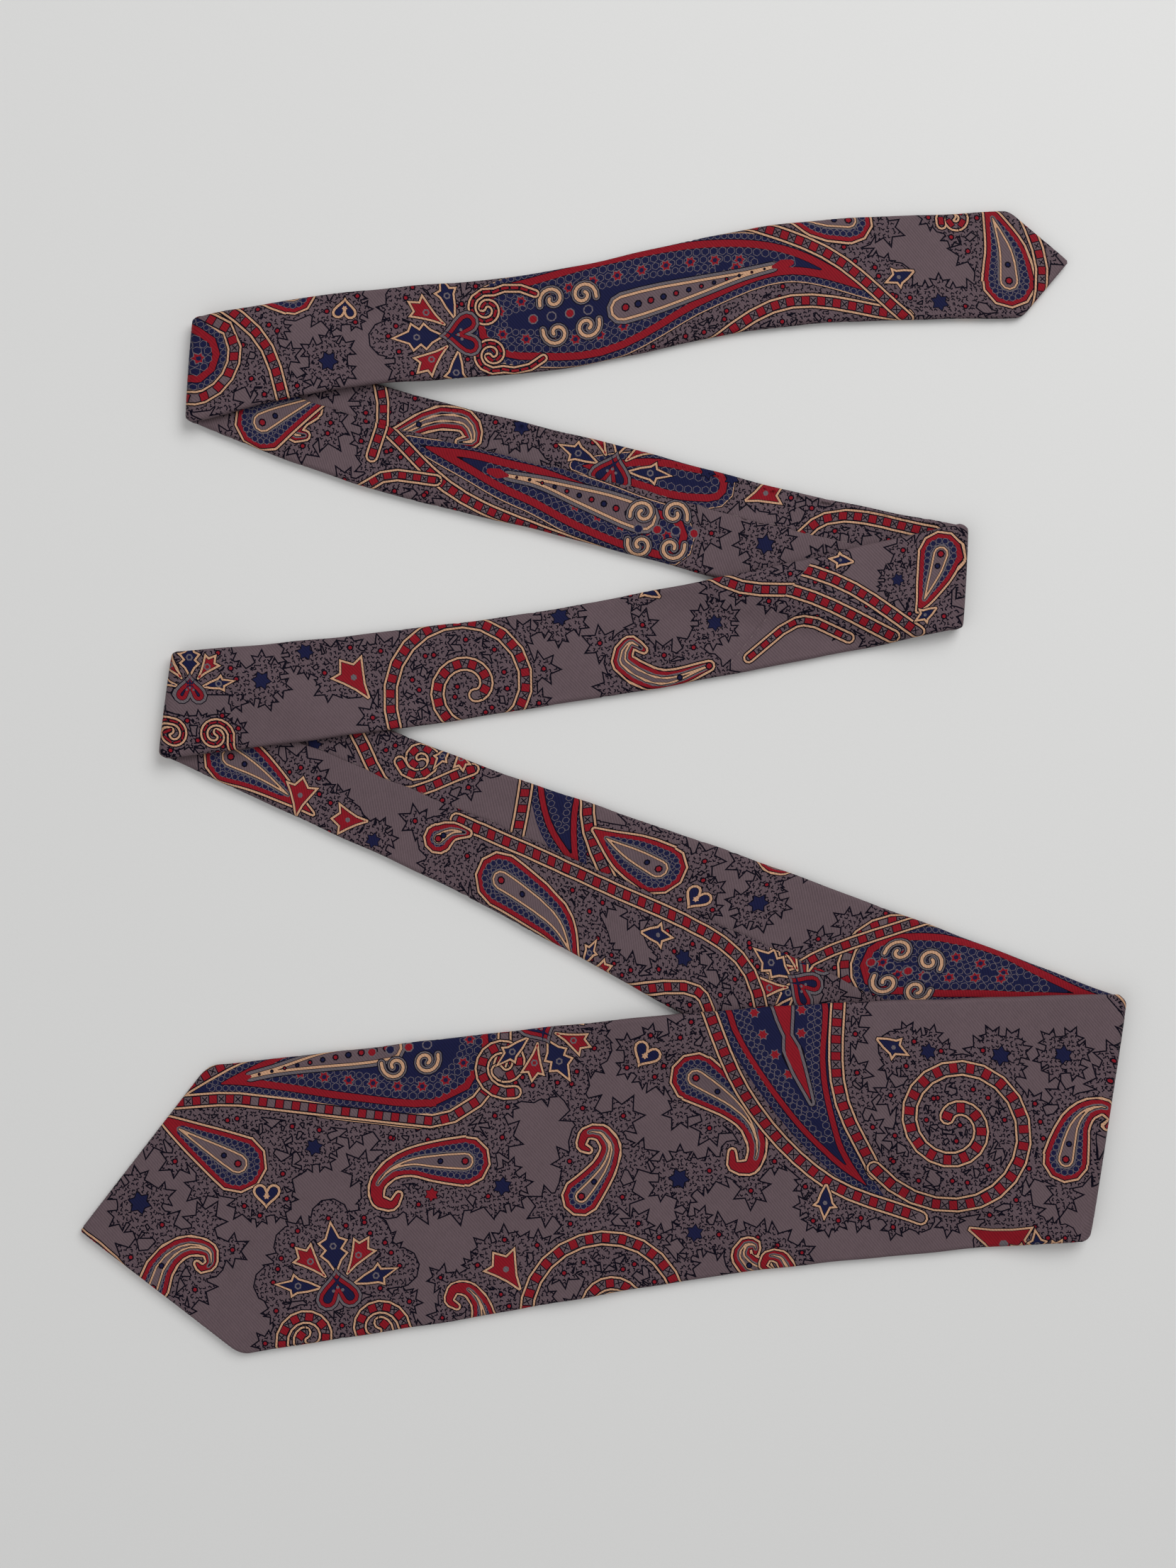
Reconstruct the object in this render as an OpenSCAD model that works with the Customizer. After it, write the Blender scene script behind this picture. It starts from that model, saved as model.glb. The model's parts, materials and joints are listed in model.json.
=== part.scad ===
// Necktie lying in a zig-zag of five legs joined by four flat folds.
// Legs are numbered from the wide blade (1) to the narrow tail (5). Odd legs lie face up and
// even legs face down. Each odd leg lies over its neighbours near the folds, then sinks to the table.
// Inside a leg, u runs along it from the fold or tip where it starts, and v runs across it.
// Layer heights are measured from the leg's back face, so a face-down leg is built upside down.

/* [Lengths] */
// Leg 1, from the blade tip to the axis of fold 1
leg_1_length = 331; // [325:1:340]
// Leg 2, between the axes of folds 1 and 2
leg_2_length = 326; // [320:1:332]
// Leg 3, between the axes of folds 2 and 3
leg_3_length = 255; // [250:1:262]
// Leg 4, between the axes of folds 3 and 4
leg_4_length = 253; // [248:1:260]
// Leg 5, from the axis of fold 4 to the tail tip
leg_5_length = 283; // [276:1:290]

/* [Directions] */
// Direction of leg 1, in degrees from +X
leg_1_heading = 6.5; // [5:0.1:8]
// Direction of leg 2
leg_2_heading = 156; // [155:0.1:157]
// Direction of leg 3
leg_3_heading = 9.3; // [8:0.1:10]
// Direction of leg 4
leg_4_heading = 164.7; // [164:0.1:166]
// Direction of leg 5
leg_5_heading = 7.2; // [6:0.1:8]
// Bow of leg 1 to its left: heights of the single, double, triple and fourfold waves in it
leg_1_bow = [4.4, -1.1, 0, 0.25]; // [-6:0.05:6]
// Bow of leg 2
leg_2_bow = [-2.7, 0, 0, 0]; // [-6:0.05:6]
// Bow of leg 3
leg_3_bow = [-4.4, 0, 0, 0]; // [-6:0.05:6]
// Bow of leg 4
leg_4_bow = [5.3, -0.9, 1.2, 0]; // [-6:0.05:6]
// Bow of leg 5
leg_5_bow = [5.3, -1.6, 1.35, 1.4]; // [-6:0.05:6]

/* [Widths] */
// Widest place, at the blade's shoulders
blade_w = 94; // [85:1:100]
// At fold 1
fold_1_w = 78; // [70:1:82]
// Where the blade's long taper ends
taper_w = 40; // [36:1:44]
// Narrowest place, at the neck
neck_w = 30.5; // [28:0.5:34]
// At folds 2, 3 and 4
fold_w = 33.5; // [31:0.5:36]
// At the tail's shoulders
tail_w = 34.7; // [32:0.1:38]

/* [Layers] */
// Thickness of the folded tie
tie_t = 3.5; // [3.4:0.1:4]
// Printed silk
silk = 0.5; // [0.4:0.05:0.5]
// Interlining
lining_t = 1.3; // [1:0.05:1.4]
// Tipping behind each point
tipping_t = 0.3; // [0.2:0.05:0.3]
// Air between neighbouring layers
ply_gap = 0.1; // [0.05:0.01:0.12]
// Air between two legs that lie on each other
leg_gap = 0.3; // [0.2:0.05:0.6]

/* [Back] */
// How far the back flaps lap over each other
flap_lap = 8; // [5:0.5:12]
// Distance from the blade tip to the top of the open tipping
blade_open = 152; // [140:1:156]
// Distance from the tail tip to the top of the open tipping
tail_open = 62; // [50:1:80]
// Width of the hem round the open tipping on the blade
blade_hem = 12; // [8:0.5:16]
// Width of the hem round the open tipping on the tail
tail_hem = 6; // [4:0.5:8]
// Spacing of the slip stitches
stitch_pitch = 12; // [8:1:20]
// Length of the bar tack that ends each seam
tack_l = 5; // [3:0.5:8]

/* [Keeper loop] */
// Distance from the blade tip to the loop's middle
loop_u = 171; // [168:1:173]
// Length of the loop across the tie
loop_l = 50; // [40:1:60]
// Width of the loop's band
loop_w = 10; // [6:0.5:11]

/* [Panel joins] */
// Place of the blade and neck panels' join along leg 3
join_3_u = 191; // [185:1:200]
// Place of the neck and tail panels' join along leg 4
join_4_u = 77; // [70:1:90]
// Angle of the joins to the leg
join_angle = 40; // [35:1:50]

/* [Hidden] */
$fn = 48;

LENGTHS = [leg_1_length, leg_2_length, leg_3_length, leg_4_length, leg_5_length];
HEADINGS = [leg_1_heading, leg_2_heading, leg_3_heading, leg_4_heading, leg_5_heading];
BOWS = [leg_1_bow, leg_2_bow, leg_3_bow, leg_4_bow, leg_5_bow];

// Colours
SILK = "#6f6270";
WOOL = "#e6dfd0";
LINING = "#4a4668";
THREAD = "#8a7a78";

// Each fold is a round roll about its axis, and the legs stop just short of it.
rise = tie_t + leg_gap;          // height of a leg that lies on another
axis_z = tie_t + leg_gap / 2;    // height of the fold axes
roll_r = axis_z;
roll_gap = 0.3;
roll_wall_gap = 0.15;
ramp_l = 38;                     // run of a leg from its neighbour's top down to the table
over_margin = 10;
reach = 70;                      // beyond any half width
overrun = 20;                    // outline drawn past a fold before it is trimmed
steps = 12;                      // straight runs along an outline
tip_blunt = 0.3;

// Heights of the layers above the back face
wall = 0.6;                      // side of the envelope
inner_flap_z = silk + ply_gap;
tipping_z = inner_flap_z + silk + ply_gap;
lining_z = tipping_z + tipping_t + ply_gap;
front_z = tie_t - silk;
lining_inset = wall + 0.5;
tipping_inset = wall + 1;

// Interlining lap and panel joins
lap_u = 120;
lap_l = 28;
lap_gap = 0.1;
join_gap = 0.5;
join_thread_r = 0.15;

stitch_l = 3;
stitch_r = 0.2;
tack_r = 0.22;
edge_gap = 0.2;                  // between the outer flap's edge and the thread beside it
loop_t = 0.6;
loop_rise = 0.7;                 // from the tie's back to the loop's inner face
loop_foot = 3;

function is_odd(n) = n % 2 == 1;
function start_s(n) = n == 1 ? 0 : start_s(n - 1) + LENGTHS[n - 2];
function turn(p, a) = [p[0] * cos(a) - p[1] * sin(a), p[0] * sin(a) + p[1] * cos(a)];
// Points 1 to 4 are the fold axes' middles, 0 the blade tip and 5 the tail tip.
function knot(i) = i == 0 ? [0, 0] : knot(i - 1) + turn([LENGTHS[i - 1], 0], HEADINGS[i - 1]);
function fold_angle(i) = (HEADINGS[i - 1] + HEADINGS[i]) / 2;
function vee(i) = 180 - abs(HEADINGS[i] - HEADINGS[i - 1]);
function clamp(x, h) = max(-h, min(h, x));

// Width of the tie at a distance s from the blade tip
fold_s = [for (n = [1 : 4]) start_s(n + 1)];
tie_l = start_s(5) + leg_5_length;
WIDTHS = [[0, 0], [blade_w / 2, blade_w], [fold_s[0], fold_1_w], [fold_s[0] + 217, taper_w],
    [fold_s[1], fold_w], [fold_s[1] + 105, neck_w], [fold_s[2], fold_w],
    [fold_s[3], fold_w], [fold_s[3] + 50, neck_w], [tie_l - tail_w / 2, tail_w], [tie_l, 0]];
function width_at(s) = lookup(s, WIDTHS);
function half_w(n, u) = width_at(start_s(n) + u) / 2;

// Sideways bow of a leg's centreline, which is 0 at both ends
function bow(n, u) =
    let (f = clamp(u / LENGTHS[n - 1] - 0.5, 0.5) + 0.5)
    BOWS[n - 1] * [for (k = [1 : 4]) sin(180 * k * f)];

// Length of a leg that lies on its neighbour at fold i
function over(i) =
    let (w = max(width_at(fold_s[i - 1] - 60), width_at(fold_s[i - 1])))
    w * (1 / tan(vee(i)) + tan(vee(i) / 2) / 2) + over_margin;

function stations(n, inset) =
    let (low = n == 1 ? blade_w / 2 : -overrun,
         high = n == 5 ? leg_5_length - tail_w / 2 : LENGTHS[n - 1] + overrun)
    concat(n == 1 ? [inset + tip_blunt] : [],
        [for (i = [0 : steps]) low + (high - low) * i / steps],
        n == 5 ? [leg_5_length - inset - tip_blunt] : []);

// The bow as the outline draws it, in straight runs
function traced_bow(n, u) = lookup(u, [for (x = stations(n, 0)) [x, bow(n, x)]]);

// An edge [k, c] lies at k half widths plus c from the centreline, kept inside the inset outline.
function edge_v(n, u, e, inset) =
    bow(n, u) + clamp(e[0] * half_w(n, u) + e[1], max(half_w(n, u) - inset, 0.01));
function strip(n, low, high, inset) =
    let (us = stations(n, inset))
    concat([for (u = us) [u, edge_v(n, u, low, inset)]],
        [for (i = [len(us) - 1 : -1 : 0]) [us[i], edge_v(n, us[i], high, inset)]]);

// Four-sided plan between the folds at a leg's ends, kept a distance off both axes
function fold_u(i, n, v) = v / tan(fold_angle(i) - HEADINGS[n - 1]);
function fold_step(i, n, off) = off / abs(sin(fold_angle(i) - HEADINGS[n - 1]));
function end_u(n, v, off) =
    n == 5 ? leg_5_length + overrun : LENGTHS[n - 1] + fold_u(n, n, v) - fold_step(n, n, off);
function begin_u(n, v, off) = n == 1 ? -overrun : fold_u(n - 1, n, v) + fold_step(n - 1, n, off);
function between_folds(n, off) = [[begin_u(n, -reach, off), -reach], [end_u(n, -reach, off), -reach],
    [end_u(n, reach, off), reach], [begin_u(n, reach, off), reach]];

// Height of a leg's underside along it
function leg_path(n) =
    let (l = LENGTHS[n - 1])
    is_odd(n) ? concat(
        n == 1 ? [[-overrun, 0]] :
            [[-overrun, rise], [over(n - 1), rise], [over(n - 1) + ramp_l, 0]],
        n == 5 ? [[l + overrun, 0]] :
            [[l - over(n) - ramp_l, 0], [l - over(n), rise], [l + overrun, rise]]) :
    [[-overrun, 0], [l + overrun, 0]];

// The middle of the whole outline, which becomes the origin
corners = [for (n = [1 : 5]) for (p = strip(n, [-1, 0], [1, 0], 0))
    if (p[0] >= 0 && p[0] <= LENGTHS[n - 1]) knot(n - 1) + turn(p, HEADINGS[n - 1])];
function roll_half(i) = width_at(fold_s[i - 1]) / 2 / abs(sin(fold_angle(i) - HEADINGS[i - 1]));
roll_ends = [for (i = [1 : 4]) for (s = [-1, 1]) for (out = [-roll_r, roll_r])
    knot(i) + turn([s * roll_half(i), out], fold_angle(i))];
outline = concat(corners, roll_ends);
xs = [for (p = outline) p[0]];
ys = [for (p = outline) p[1]];
middle = [(min(xs) + max(xs)) / 2, (min(ys) + max(ys)) / 2, 0];

module place(n) {
    translate(knot(n - 1) - [middle[0], middle[1]])
        rotate([0, 0, HEADINGS[n - 1]])
            children();
}

module leg_profile(n, z1, z2) {
    path = leg_path(n);
    low = is_odd(n) ? z1 : tie_t - z2;
    high = is_odd(n) ? z2 : tie_t - z1;
    rotate([90, 0, 0])
        linear_extrude(height = 2 * reach, center = true)
            polygon(concat([for (p = path) [p[0], p[1] + low]],
                [for (i = [len(path) - 1 : -1 : 0]) [path[i][0], path[i][1] + high]]));
}

module upright(height = 4 * rise) {
    translate([0, 0, -rise])
        linear_extrude(height = height)
            children();
}

// One layer of leg n between two heights above its back face and two edges
module layer(n, z1, z2, low = [-1, 0], high = [1, 0], inset = 0, off = roll_r + roll_gap) {
    intersection() {
        upright()
            intersection() {
                polygon(strip(n, low, high, inset));
                polygon(between_folds(n, off));
            }
        leg_profile(n, z1, z2);
    }
}

// Kite where the back stays open and shows the tipping
module tip_opening(n, open_l, hem, w) {
    end = n == 1 ? 0 : leg_5_length;
    dir = n == 1 ? 1 : -1;
    shoulder = w / 2 + 0.3 * hem;
    kite = [[hem * sqrt(2), 0], [shoulder, hem * 1.2 - w / 2], [open_l, 0], [shoulder, w / 2 - hem * 1.2]];
    upright()
        polygon([for (p = kite) [end + dir * p[0], p[1] + bow(n, end + dir * p[0])]]);
}

module back_flap(n, side, z) {
    layer(n, z, z + silk, side < 0 ? [-1, 0] : [0, -flap_lap / 2], side < 0 ? [0, flap_lap / 2] : [1, 0]);
}

module side_wall(n, side, z) {
    layer(n, z, tie_t, side < 0 ? [-1, 0] : [1, -wall], side < 0 ? [-1, wall] : [1, 0]);
}

// Silk envelope: front, two rolled sides and two back flaps, the outer one lapping the inner one
module envelope(n) {
    outer = is_odd(n) ? -1 : 1;
    layer(n, front_z, tie_t);
    side_wall(n, outer, 0);
    side_wall(n, -outer, inner_flap_z);
    difference() {
        union() {
            back_flap(n, outer, 0);
            back_flap(n, -outer, inner_flap_z);
        }
        if (n == 1) tip_opening(1, blade_open, blade_hem, blade_w);
        if (n == 5) tip_opening(5, tail_open, tail_hem, tail_w);
    }
}

// Everything on one side of a diagonal join
module beside_join(n, u, keep, gap) {
    angle = is_odd(n) ? join_angle : -join_angle;
    upright()
        translate([u, 0])
            rotate(angle)
                translate([-2 * reach, (keep > 0) == is_odd(n) ? -4 * reach - gap : gap])
                    square([4 * reach, 4 * reach]);
}

module shell_part(n, u, keep) {
    color(SILK)
        place(n)
            intersection() {
                envelope(n);
                beside_join(n, u, keep, join_gap / 2);
            }
}

module blade_panel_leg_1() color(SILK) place(1) envelope(1);
module blade_panel_leg_2() color(SILK) place(2) envelope(2);
module blade_panel_leg_3() shell_part(3, join_3_u, -1);
module neck_panel_leg_3() shell_part(3, join_3_u, 1);
module neck_panel_leg_4() shell_part(4, join_4_u, -1);
module tail_panel_leg_4() shell_part(4, join_4_u, 1);
module tail_panel_leg_5() color(SILK) place(5) envelope(5);

// A tube or rod along the axis of fold i
module roll(i, outer_r, inner_r) {
    translate([knot(i)[0] - middle[0], knot(i)[1] - middle[1], axis_z])
        rotate([0, 0, fold_angle(i)])
            rotate([0, 90, 0])
                difference() {
                    cylinder(r = outer_r, h = 2 * roll_half(i), center = true);
                    if (inner_r > 0) cylinder(r = inner_r, h = 2 * roll_half(i) + 2, center = true);
                }
}

lining_roll_r = roll_r - silk - roll_wall_gap;

module shell_bend(i) {
    color(SILK) {
        roll(i, roll_r, roll_r - silk);
        roll(i, lining_roll_r - lining_t - roll_wall_gap, 0);
    }
}

module interlining_bend(i) color(WOOL) roll(i, lining_roll_r, lining_roll_r - lining_t);

module shell_bend_1() shell_bend(1);
module shell_bend_2() shell_bend(2);
module shell_bend_3() shell_bend(3);
module shell_bend_4() shell_bend(4);
module interlining_bend_1() interlining_bend(1);
module interlining_bend_2() interlining_bend(2);
module interlining_bend_3() interlining_bend(3);
module interlining_bend_4() interlining_bend(4);

module lining_layer(n, z1 = lining_z, z2 = lining_z + lining_t) {
    layer(n, z1, z2, inset = lining_inset);
}

module along(n, from, to) {
    intersection() {
        children();
        translate([from, -reach, -rise])
            cube([to - from, 2 * reach, 4 * rise]);
    }
}

module blade_interlining_leg_1() color(WOOL) place(1) lining_layer(1);
module blade_interlining_leg_2() color(WOOL) place(2) lining_layer(2);
module tail_interlining_leg_4() color(WOOL) place(4) lining_layer(4);
module tail_interlining_leg_5() color(WOOL) place(5) lining_layer(5);

// The two interlinings meet in a stepped lap half way along leg 3.
lap_z = lining_z + (lining_t - lap_gap) / 2;

module blade_interlining_leg_3() {
    color(WOOL)
        place(3) {
            along(3, -overrun, lap_u) lining_layer(3);
            along(3, lap_u - 1, lap_u + lap_l) lining_layer(3, lining_z, lap_z);
        }
}

module tail_interlining_leg_3() {
    color(WOOL)
        place(3) {
            along(3, lap_u + lap_l + lap_gap, leg_3_length) lining_layer(3);
            along(3, lap_u + lap_gap, lap_u + lap_l + 1)
                lining_layer(3, lap_z + lap_gap, lining_z + lining_t);
        }
}

module tipping_layer(n) layer(n, tipping_z, tipping_z + tipping_t, inset = tipping_inset);

module blade_tipping() color(LINING) place(1) along(1, 0, blade_open + 8) tipping_layer(1);
module tail_tipping() {
    color(LINING)
        place(5)
            along(5, leg_5_length - tail_open - 8, leg_5_length) tipping_layer(5);
}

// A band across the back, sewn down at both ends, that the tail slides through when worn
module keeper_loop() {
    half = loop_l / 2;
    color(SILK)
        place(1)
            along(1, loop_u - loop_w / 2, loop_u + loop_w / 2) {
                layer(1, -loop_rise - loop_t, -loop_rise, [0, -half], [0, half]);
                layer(1, -loop_rise - loop_t, -ply_gap / 2, [0, -half], [0, loop_foot - half]);
                layer(1, -loop_rise - loop_t, -ply_gap / 2, [0, half - loop_foot], [0, half]);
            }
}

// A thread bar that lies along the outer flap's free edge, on the inner flap
module thread_bar(n, u, r, l, row = 0) {
    outer = is_odd(n) ? -1 : 1;
    z = inner_flap_z - r - 0.04;
    path = leg_path(n);
    base = lookup(u, path);
    tilt = atan((lookup(u + l, path) - base) / l);
    sideways = traced_bow(n, u);
    yaw = atan((traced_bow(n, u + l) - sideways) / l);
    translate([u, sideways - outer * (flap_lap / 2 + edge_gap + r + row * 2.3 * r),
        base + (is_odd(n) ? z : tie_t - z)])
        rotate([0, 0, yaw])
            rotate([0, 90 - tilt, 0])
                cylinder(r = r, h = l, $fn = 24);
}

module bar_tack(n, u) {
    color(THREAD)
        place(n)
            for (row = [0 : 2]) thread_bar(n, u, tack_r, tack_l, row);
}

tail_tack_u = leg_5_length - tail_open - 2 - tack_l;

module blade_bar_tack() bar_tack(1, blade_open + 2);
module tail_bar_tack() bar_tack(5, tail_tack_u);

seam_margin = 12;

// The slip stitches skip the places where a leg bends up or down.
function crosses_bend(n, u) =
    len([for (p = leg_path(n)) if (p[0] > u - 1 && p[0] < u + stitch_l + 1) p]) > 0;

module slip_stitch(n) {
    from = n == 1 ? blade_open + tack_l + 6 : seam_margin;
    to = n == 5 ? tail_tack_u - 4 : LENGTHS[n - 1] - seam_margin;
    color(THREAD)
        place(n)
            for (u = [from : stitch_pitch : to - stitch_l])
                if (!crosses_bend(n, u)) thread_bar(n, u, stitch_r, stitch_l);
}

module slip_stitch_leg_1() slip_stitch(1);
module slip_stitch_leg_2() slip_stitch(2);
module slip_stitch_leg_3() slip_stitch(3);
module slip_stitch_leg_4() slip_stitch(4);
module slip_stitch_leg_5() slip_stitch(5);

// Thread that closes the front of a panel join, lying in the gap between the panels
module join_thread(n, u) {
    angle = is_odd(n) ? join_angle : -join_angle;
    l = 2 * (half_w(n, u) - 2) / sin(join_angle) * 0.8;
    base = lookup(u, leg_path(n));
    color(THREAD)
        place(n)
            translate([u, 0, is_odd(n) ? base + tie_t - silk / 2 : silk / 2])
                rotate([0, 0, angle])
                    rotate([0, 90, 0])
                        cylinder(r = join_thread_r, h = l, center = true);
}

module join_thread_leg_3() join_thread(3, join_3_u);
module join_thread_leg_4() join_thread(4, join_4_u);

blade_panel_leg_1();
blade_panel_leg_2();
blade_panel_leg_3();
neck_panel_leg_3();
neck_panel_leg_4();
tail_panel_leg_4();
tail_panel_leg_5();
shell_bend_1();
shell_bend_2();
shell_bend_3();
shell_bend_4();
blade_interlining_leg_1();
blade_interlining_leg_2();
blade_interlining_leg_3();
tail_interlining_leg_3();
tail_interlining_leg_4();
tail_interlining_leg_5();
interlining_bend_1();
interlining_bend_2();
interlining_bend_3();
interlining_bend_4();
blade_tipping();
tail_tipping();
keeper_loop();
blade_bar_tack();
tail_bar_tack();
slip_stitch_leg_1();
slip_stitch_leg_2();
slip_stitch_leg_3();
slip_stitch_leg_4();
slip_stitch_leg_5();
join_thread_leg_3();
join_thread_leg_4();
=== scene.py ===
"""Printed silk necktie lying in a flat zig-zag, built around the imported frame.

The cloth is drawn flat, in millimetres: s runs along the tie from the blade tip and c across the cloth
from the middle of the front, round both rolled sides and on to the two back flaps. The print is cut out
of that flat cloth as polygons, and every point is then folded into place by one map.
"""
import json
import math
import bpy
import numpy as np
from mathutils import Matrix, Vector
from mathutils.geometry import delaunay_2d_cdt


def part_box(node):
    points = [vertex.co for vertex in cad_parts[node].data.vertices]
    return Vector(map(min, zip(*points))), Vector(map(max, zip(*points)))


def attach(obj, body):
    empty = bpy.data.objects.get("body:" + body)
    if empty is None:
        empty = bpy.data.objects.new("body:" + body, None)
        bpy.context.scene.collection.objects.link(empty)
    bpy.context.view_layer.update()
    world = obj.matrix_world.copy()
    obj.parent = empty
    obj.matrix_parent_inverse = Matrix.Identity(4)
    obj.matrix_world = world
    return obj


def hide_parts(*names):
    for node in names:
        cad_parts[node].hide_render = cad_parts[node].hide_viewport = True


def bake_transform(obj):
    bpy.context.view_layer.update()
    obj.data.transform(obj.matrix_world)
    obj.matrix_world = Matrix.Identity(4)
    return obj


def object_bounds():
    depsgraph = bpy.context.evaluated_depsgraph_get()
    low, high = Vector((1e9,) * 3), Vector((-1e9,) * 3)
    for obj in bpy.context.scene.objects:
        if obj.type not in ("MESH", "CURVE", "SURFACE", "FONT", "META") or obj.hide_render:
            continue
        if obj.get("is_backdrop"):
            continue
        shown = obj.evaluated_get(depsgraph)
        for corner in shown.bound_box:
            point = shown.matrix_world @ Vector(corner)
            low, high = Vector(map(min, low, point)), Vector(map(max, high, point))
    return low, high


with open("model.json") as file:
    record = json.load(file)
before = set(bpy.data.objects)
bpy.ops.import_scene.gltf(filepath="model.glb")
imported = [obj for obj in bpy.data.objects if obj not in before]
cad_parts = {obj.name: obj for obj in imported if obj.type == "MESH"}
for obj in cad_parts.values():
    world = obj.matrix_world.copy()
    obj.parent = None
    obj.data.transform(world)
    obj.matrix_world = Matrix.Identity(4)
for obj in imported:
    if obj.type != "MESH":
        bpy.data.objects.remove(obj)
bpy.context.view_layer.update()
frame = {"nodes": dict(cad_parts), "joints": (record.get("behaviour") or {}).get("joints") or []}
MM = 0.001

# ---------------------------------------------------------------- the frame's own sizes, in millimetres
JOINTS = {j["name"]: j for j in frame["joints"]}
FOLDS = [JOINTS[n] for n in ("blade_fold", "middle_fold", "neck_fold", "tail_fold")]
HINGES = [np.array(j["pos_m"]) / MM for j in FOLDS]
LEG_BODIES = ["blade_leg", "upper_blade_leg", "neck_leg", "upper_tail_leg", "tail_leg"]
AXIS_Z = HINGES[0][2]


def box_mm(node):
    low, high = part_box(node)
    return np.array(low) / MM, np.array(high) / MM


T = box_mm("blade_panel_leg_2")[1][2]          # thickness of one leg
RISE = 2 * AXIS_Z - T                          # height of a leg that lies on another
FOLD_ANGLES = []
for joint in FOLDS:
    ax, ay, _ = joint["axis"]
    FOLD_ANGLES.append(math.atan2(abs(ay), ax * math.copysign(1, ay)))
HEADINGS = [math.atan2(*(HINGES[i + 1] - HINGES[i])[1::-1]) for i in range(3)]
HEADINGS = [2 * FOLD_ANGLES[0] - HEADINGS[0]] + HEADINGS + [2 * FOLD_ANGLES[3] - HEADINGS[2]]
tip_x = box_mm("blade_panel_leg_1")[0][0]
tail_x = box_mm("tail_panel_leg_5")[1][0]
LENGTHS = [(HINGES[0][0] - tip_x) / math.cos(HEADINGS[0])]
LENGTHS += [float(np.hypot(*(HINGES[i + 1] - HINGES[i])[:2])) for i in range(3)]
LENGTHS += [(tail_x - HINGES[3][0]) / math.cos(HEADINGS[4])]
TIP = HINGES[0][:2] - LENGTHS[0] * np.array([math.cos(HEADINGS[0]), math.sin(HEADINGS[0])])
ORIGINS = [TIP] + [h[:2] for h in HINGES]

BEND_R = RISE / 2                              # middle of the cloth's thickness round a fold
BEND_L = math.pi * BEND_R
STARTS = [sum(LENGTHS[:n]) + BEND_L * n for n in range(5)]
ENDS = [STARTS[n] + LENGTHS[n] for n in range(5)]
TIE_L = ENDS[4]
FACE = [1, -1, 1, -1, 1]                       # legs 1, 3 and 5 lie face up
# A fold line crosses the flat tie at a slant: its s grows by this much for each millimetre of v.
SLANTS = [FACE[i] / math.tan(FOLD_ANGLES[i] - HEADINGS[i]) for i in range(4)]
VEES = [math.pi - abs(HEADINGS[i + 1] - HEADINGS[i]) for i in range(4)]

# ---------------------------------------------------------------- the tie's own design, in millimetres
BLADE_W = 94.0
TAIL_W = 34.7
NECK_W = 30.5
WIDTHS = [(0, 96.0), (47, BLADE_W), (136, 90.3), (331, 78.0), (482, 53.5), (556, 40.5), (664, 33.3),
          (780, NECK_W), (868, 32.0), (940, 33.8), (1070, 32.7), (1200, 33.4), (1245, 31.0),
          (1300, 32.0), (1385, 33.0), (TIE_L - 17, TAIL_W), (TIE_L + 1, 35.0)]
EDGE_R = 1.45                                  # radius of the rolled sides
PLY = 0.55                                     # step from one back flap down to the other
LAP = 8.0
HEM_UNDER = 3.0                                # cloth turned under the outer flap's free edge
BLADE_OPEN = 152.0                             # the blade's back is open, over its tipping, to here
TAIL_OPEN = 62.0
LOOP_S = 171.0                                 # the middle of the keeper loop
BLADE_HEM = 13.0
TAIL_HEM = 6.0
BLADE_SHOULDER = 50                            # where each open back starts to narrow, from the tip
TAIL_SHOULDER = 19
TAIL_HALF = 17                                 # half the tail's width there
# Each leg's bow to its left: heights of the single, double, triple and fourfold waves in it.
BOWS = [[4.4, -1.1, 0, 0.25], [-2.7], [-4.4], [5.3, -0.9, 1.2], [5.3, -1.6, 1.35, 1.4]]
JOIN_3 = STARTS[2] + 193                       # the blade and neck panels' join, on the front's middle
JOIN_4 = STARTS[3] + 60                        # the neck and tail panels' join
GROOVE = 0.3                                   # depth of the joins' grooves
JOIN_3_SLANT = 1.15
JOIN_4_SLANT = -1.05


def smoothstep(x):
    x = np.clip(x, 0, 1)
    return x * x * (3 - 2 * x)


def soft_min(a, b, k):
    h = np.clip(0.5 + (b - a) / (2 * k), 0, 1)
    return b * (1 - h) + a * h - k * h * (1 - h)


def ripple(x, *waves):
    """A smooth irregular wave, from (length, phase) pairs; it stays within -1 to 1."""
    return sum(np.sin(2 * np.pi * x / length + phase) for length, phase in waves) / len(waves)


def half_width(s):
    s = np.asarray(s, float)
    a = np.interp(s, *zip(*WIDTHS)) / 2
    a = a + 0.22 * ripple(s, (37, 0.4), (23, 2.1), (71, 4.0))
    a = soft_min(a, s + 0.6, 3.5)
    a = soft_min(a, TIE_L - s + 0.6, 2.0)
    return np.maximum(a, 0.4)


def edge_radius(a):
    return np.minimum(EDGE_R, 0.6 * a)


def flap_inner_edge(s):
    """Distance from the middle of the back to the flaps' edges: 0 or less where they lap."""
    a = half_width(s)
    narrowing = (BLADE_OPEN - s) / (BLADE_OPEN - BLADE_SHOULDER)
    blade = np.where(s < BLADE_SHOULDER, np.maximum(a - BLADE_HEM, 0.2),
                     narrowing * (BLADE_W / 2 - BLADE_HEM))
    q = TIE_L - s
    narrowing = (TAIL_OPEN - q) / (TAIL_OPEN - TAIL_SHOULDER)
    tail = np.where(q < TAIL_SHOULDER, np.maximum(a - TAIL_HEM, 0.2), narrowing * (TAIL_HALF - TAIL_HEM))
    v = np.where(s < TIE_L / 2, blade, tail)
    return np.clip(v, -LAP / 2, np.maximum(a - 3, 0.1))


def lap_wave(s):
    return 0.45 * ripple(s, (24, 0.3), (61, 1.2), (15, 2.2))


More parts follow.
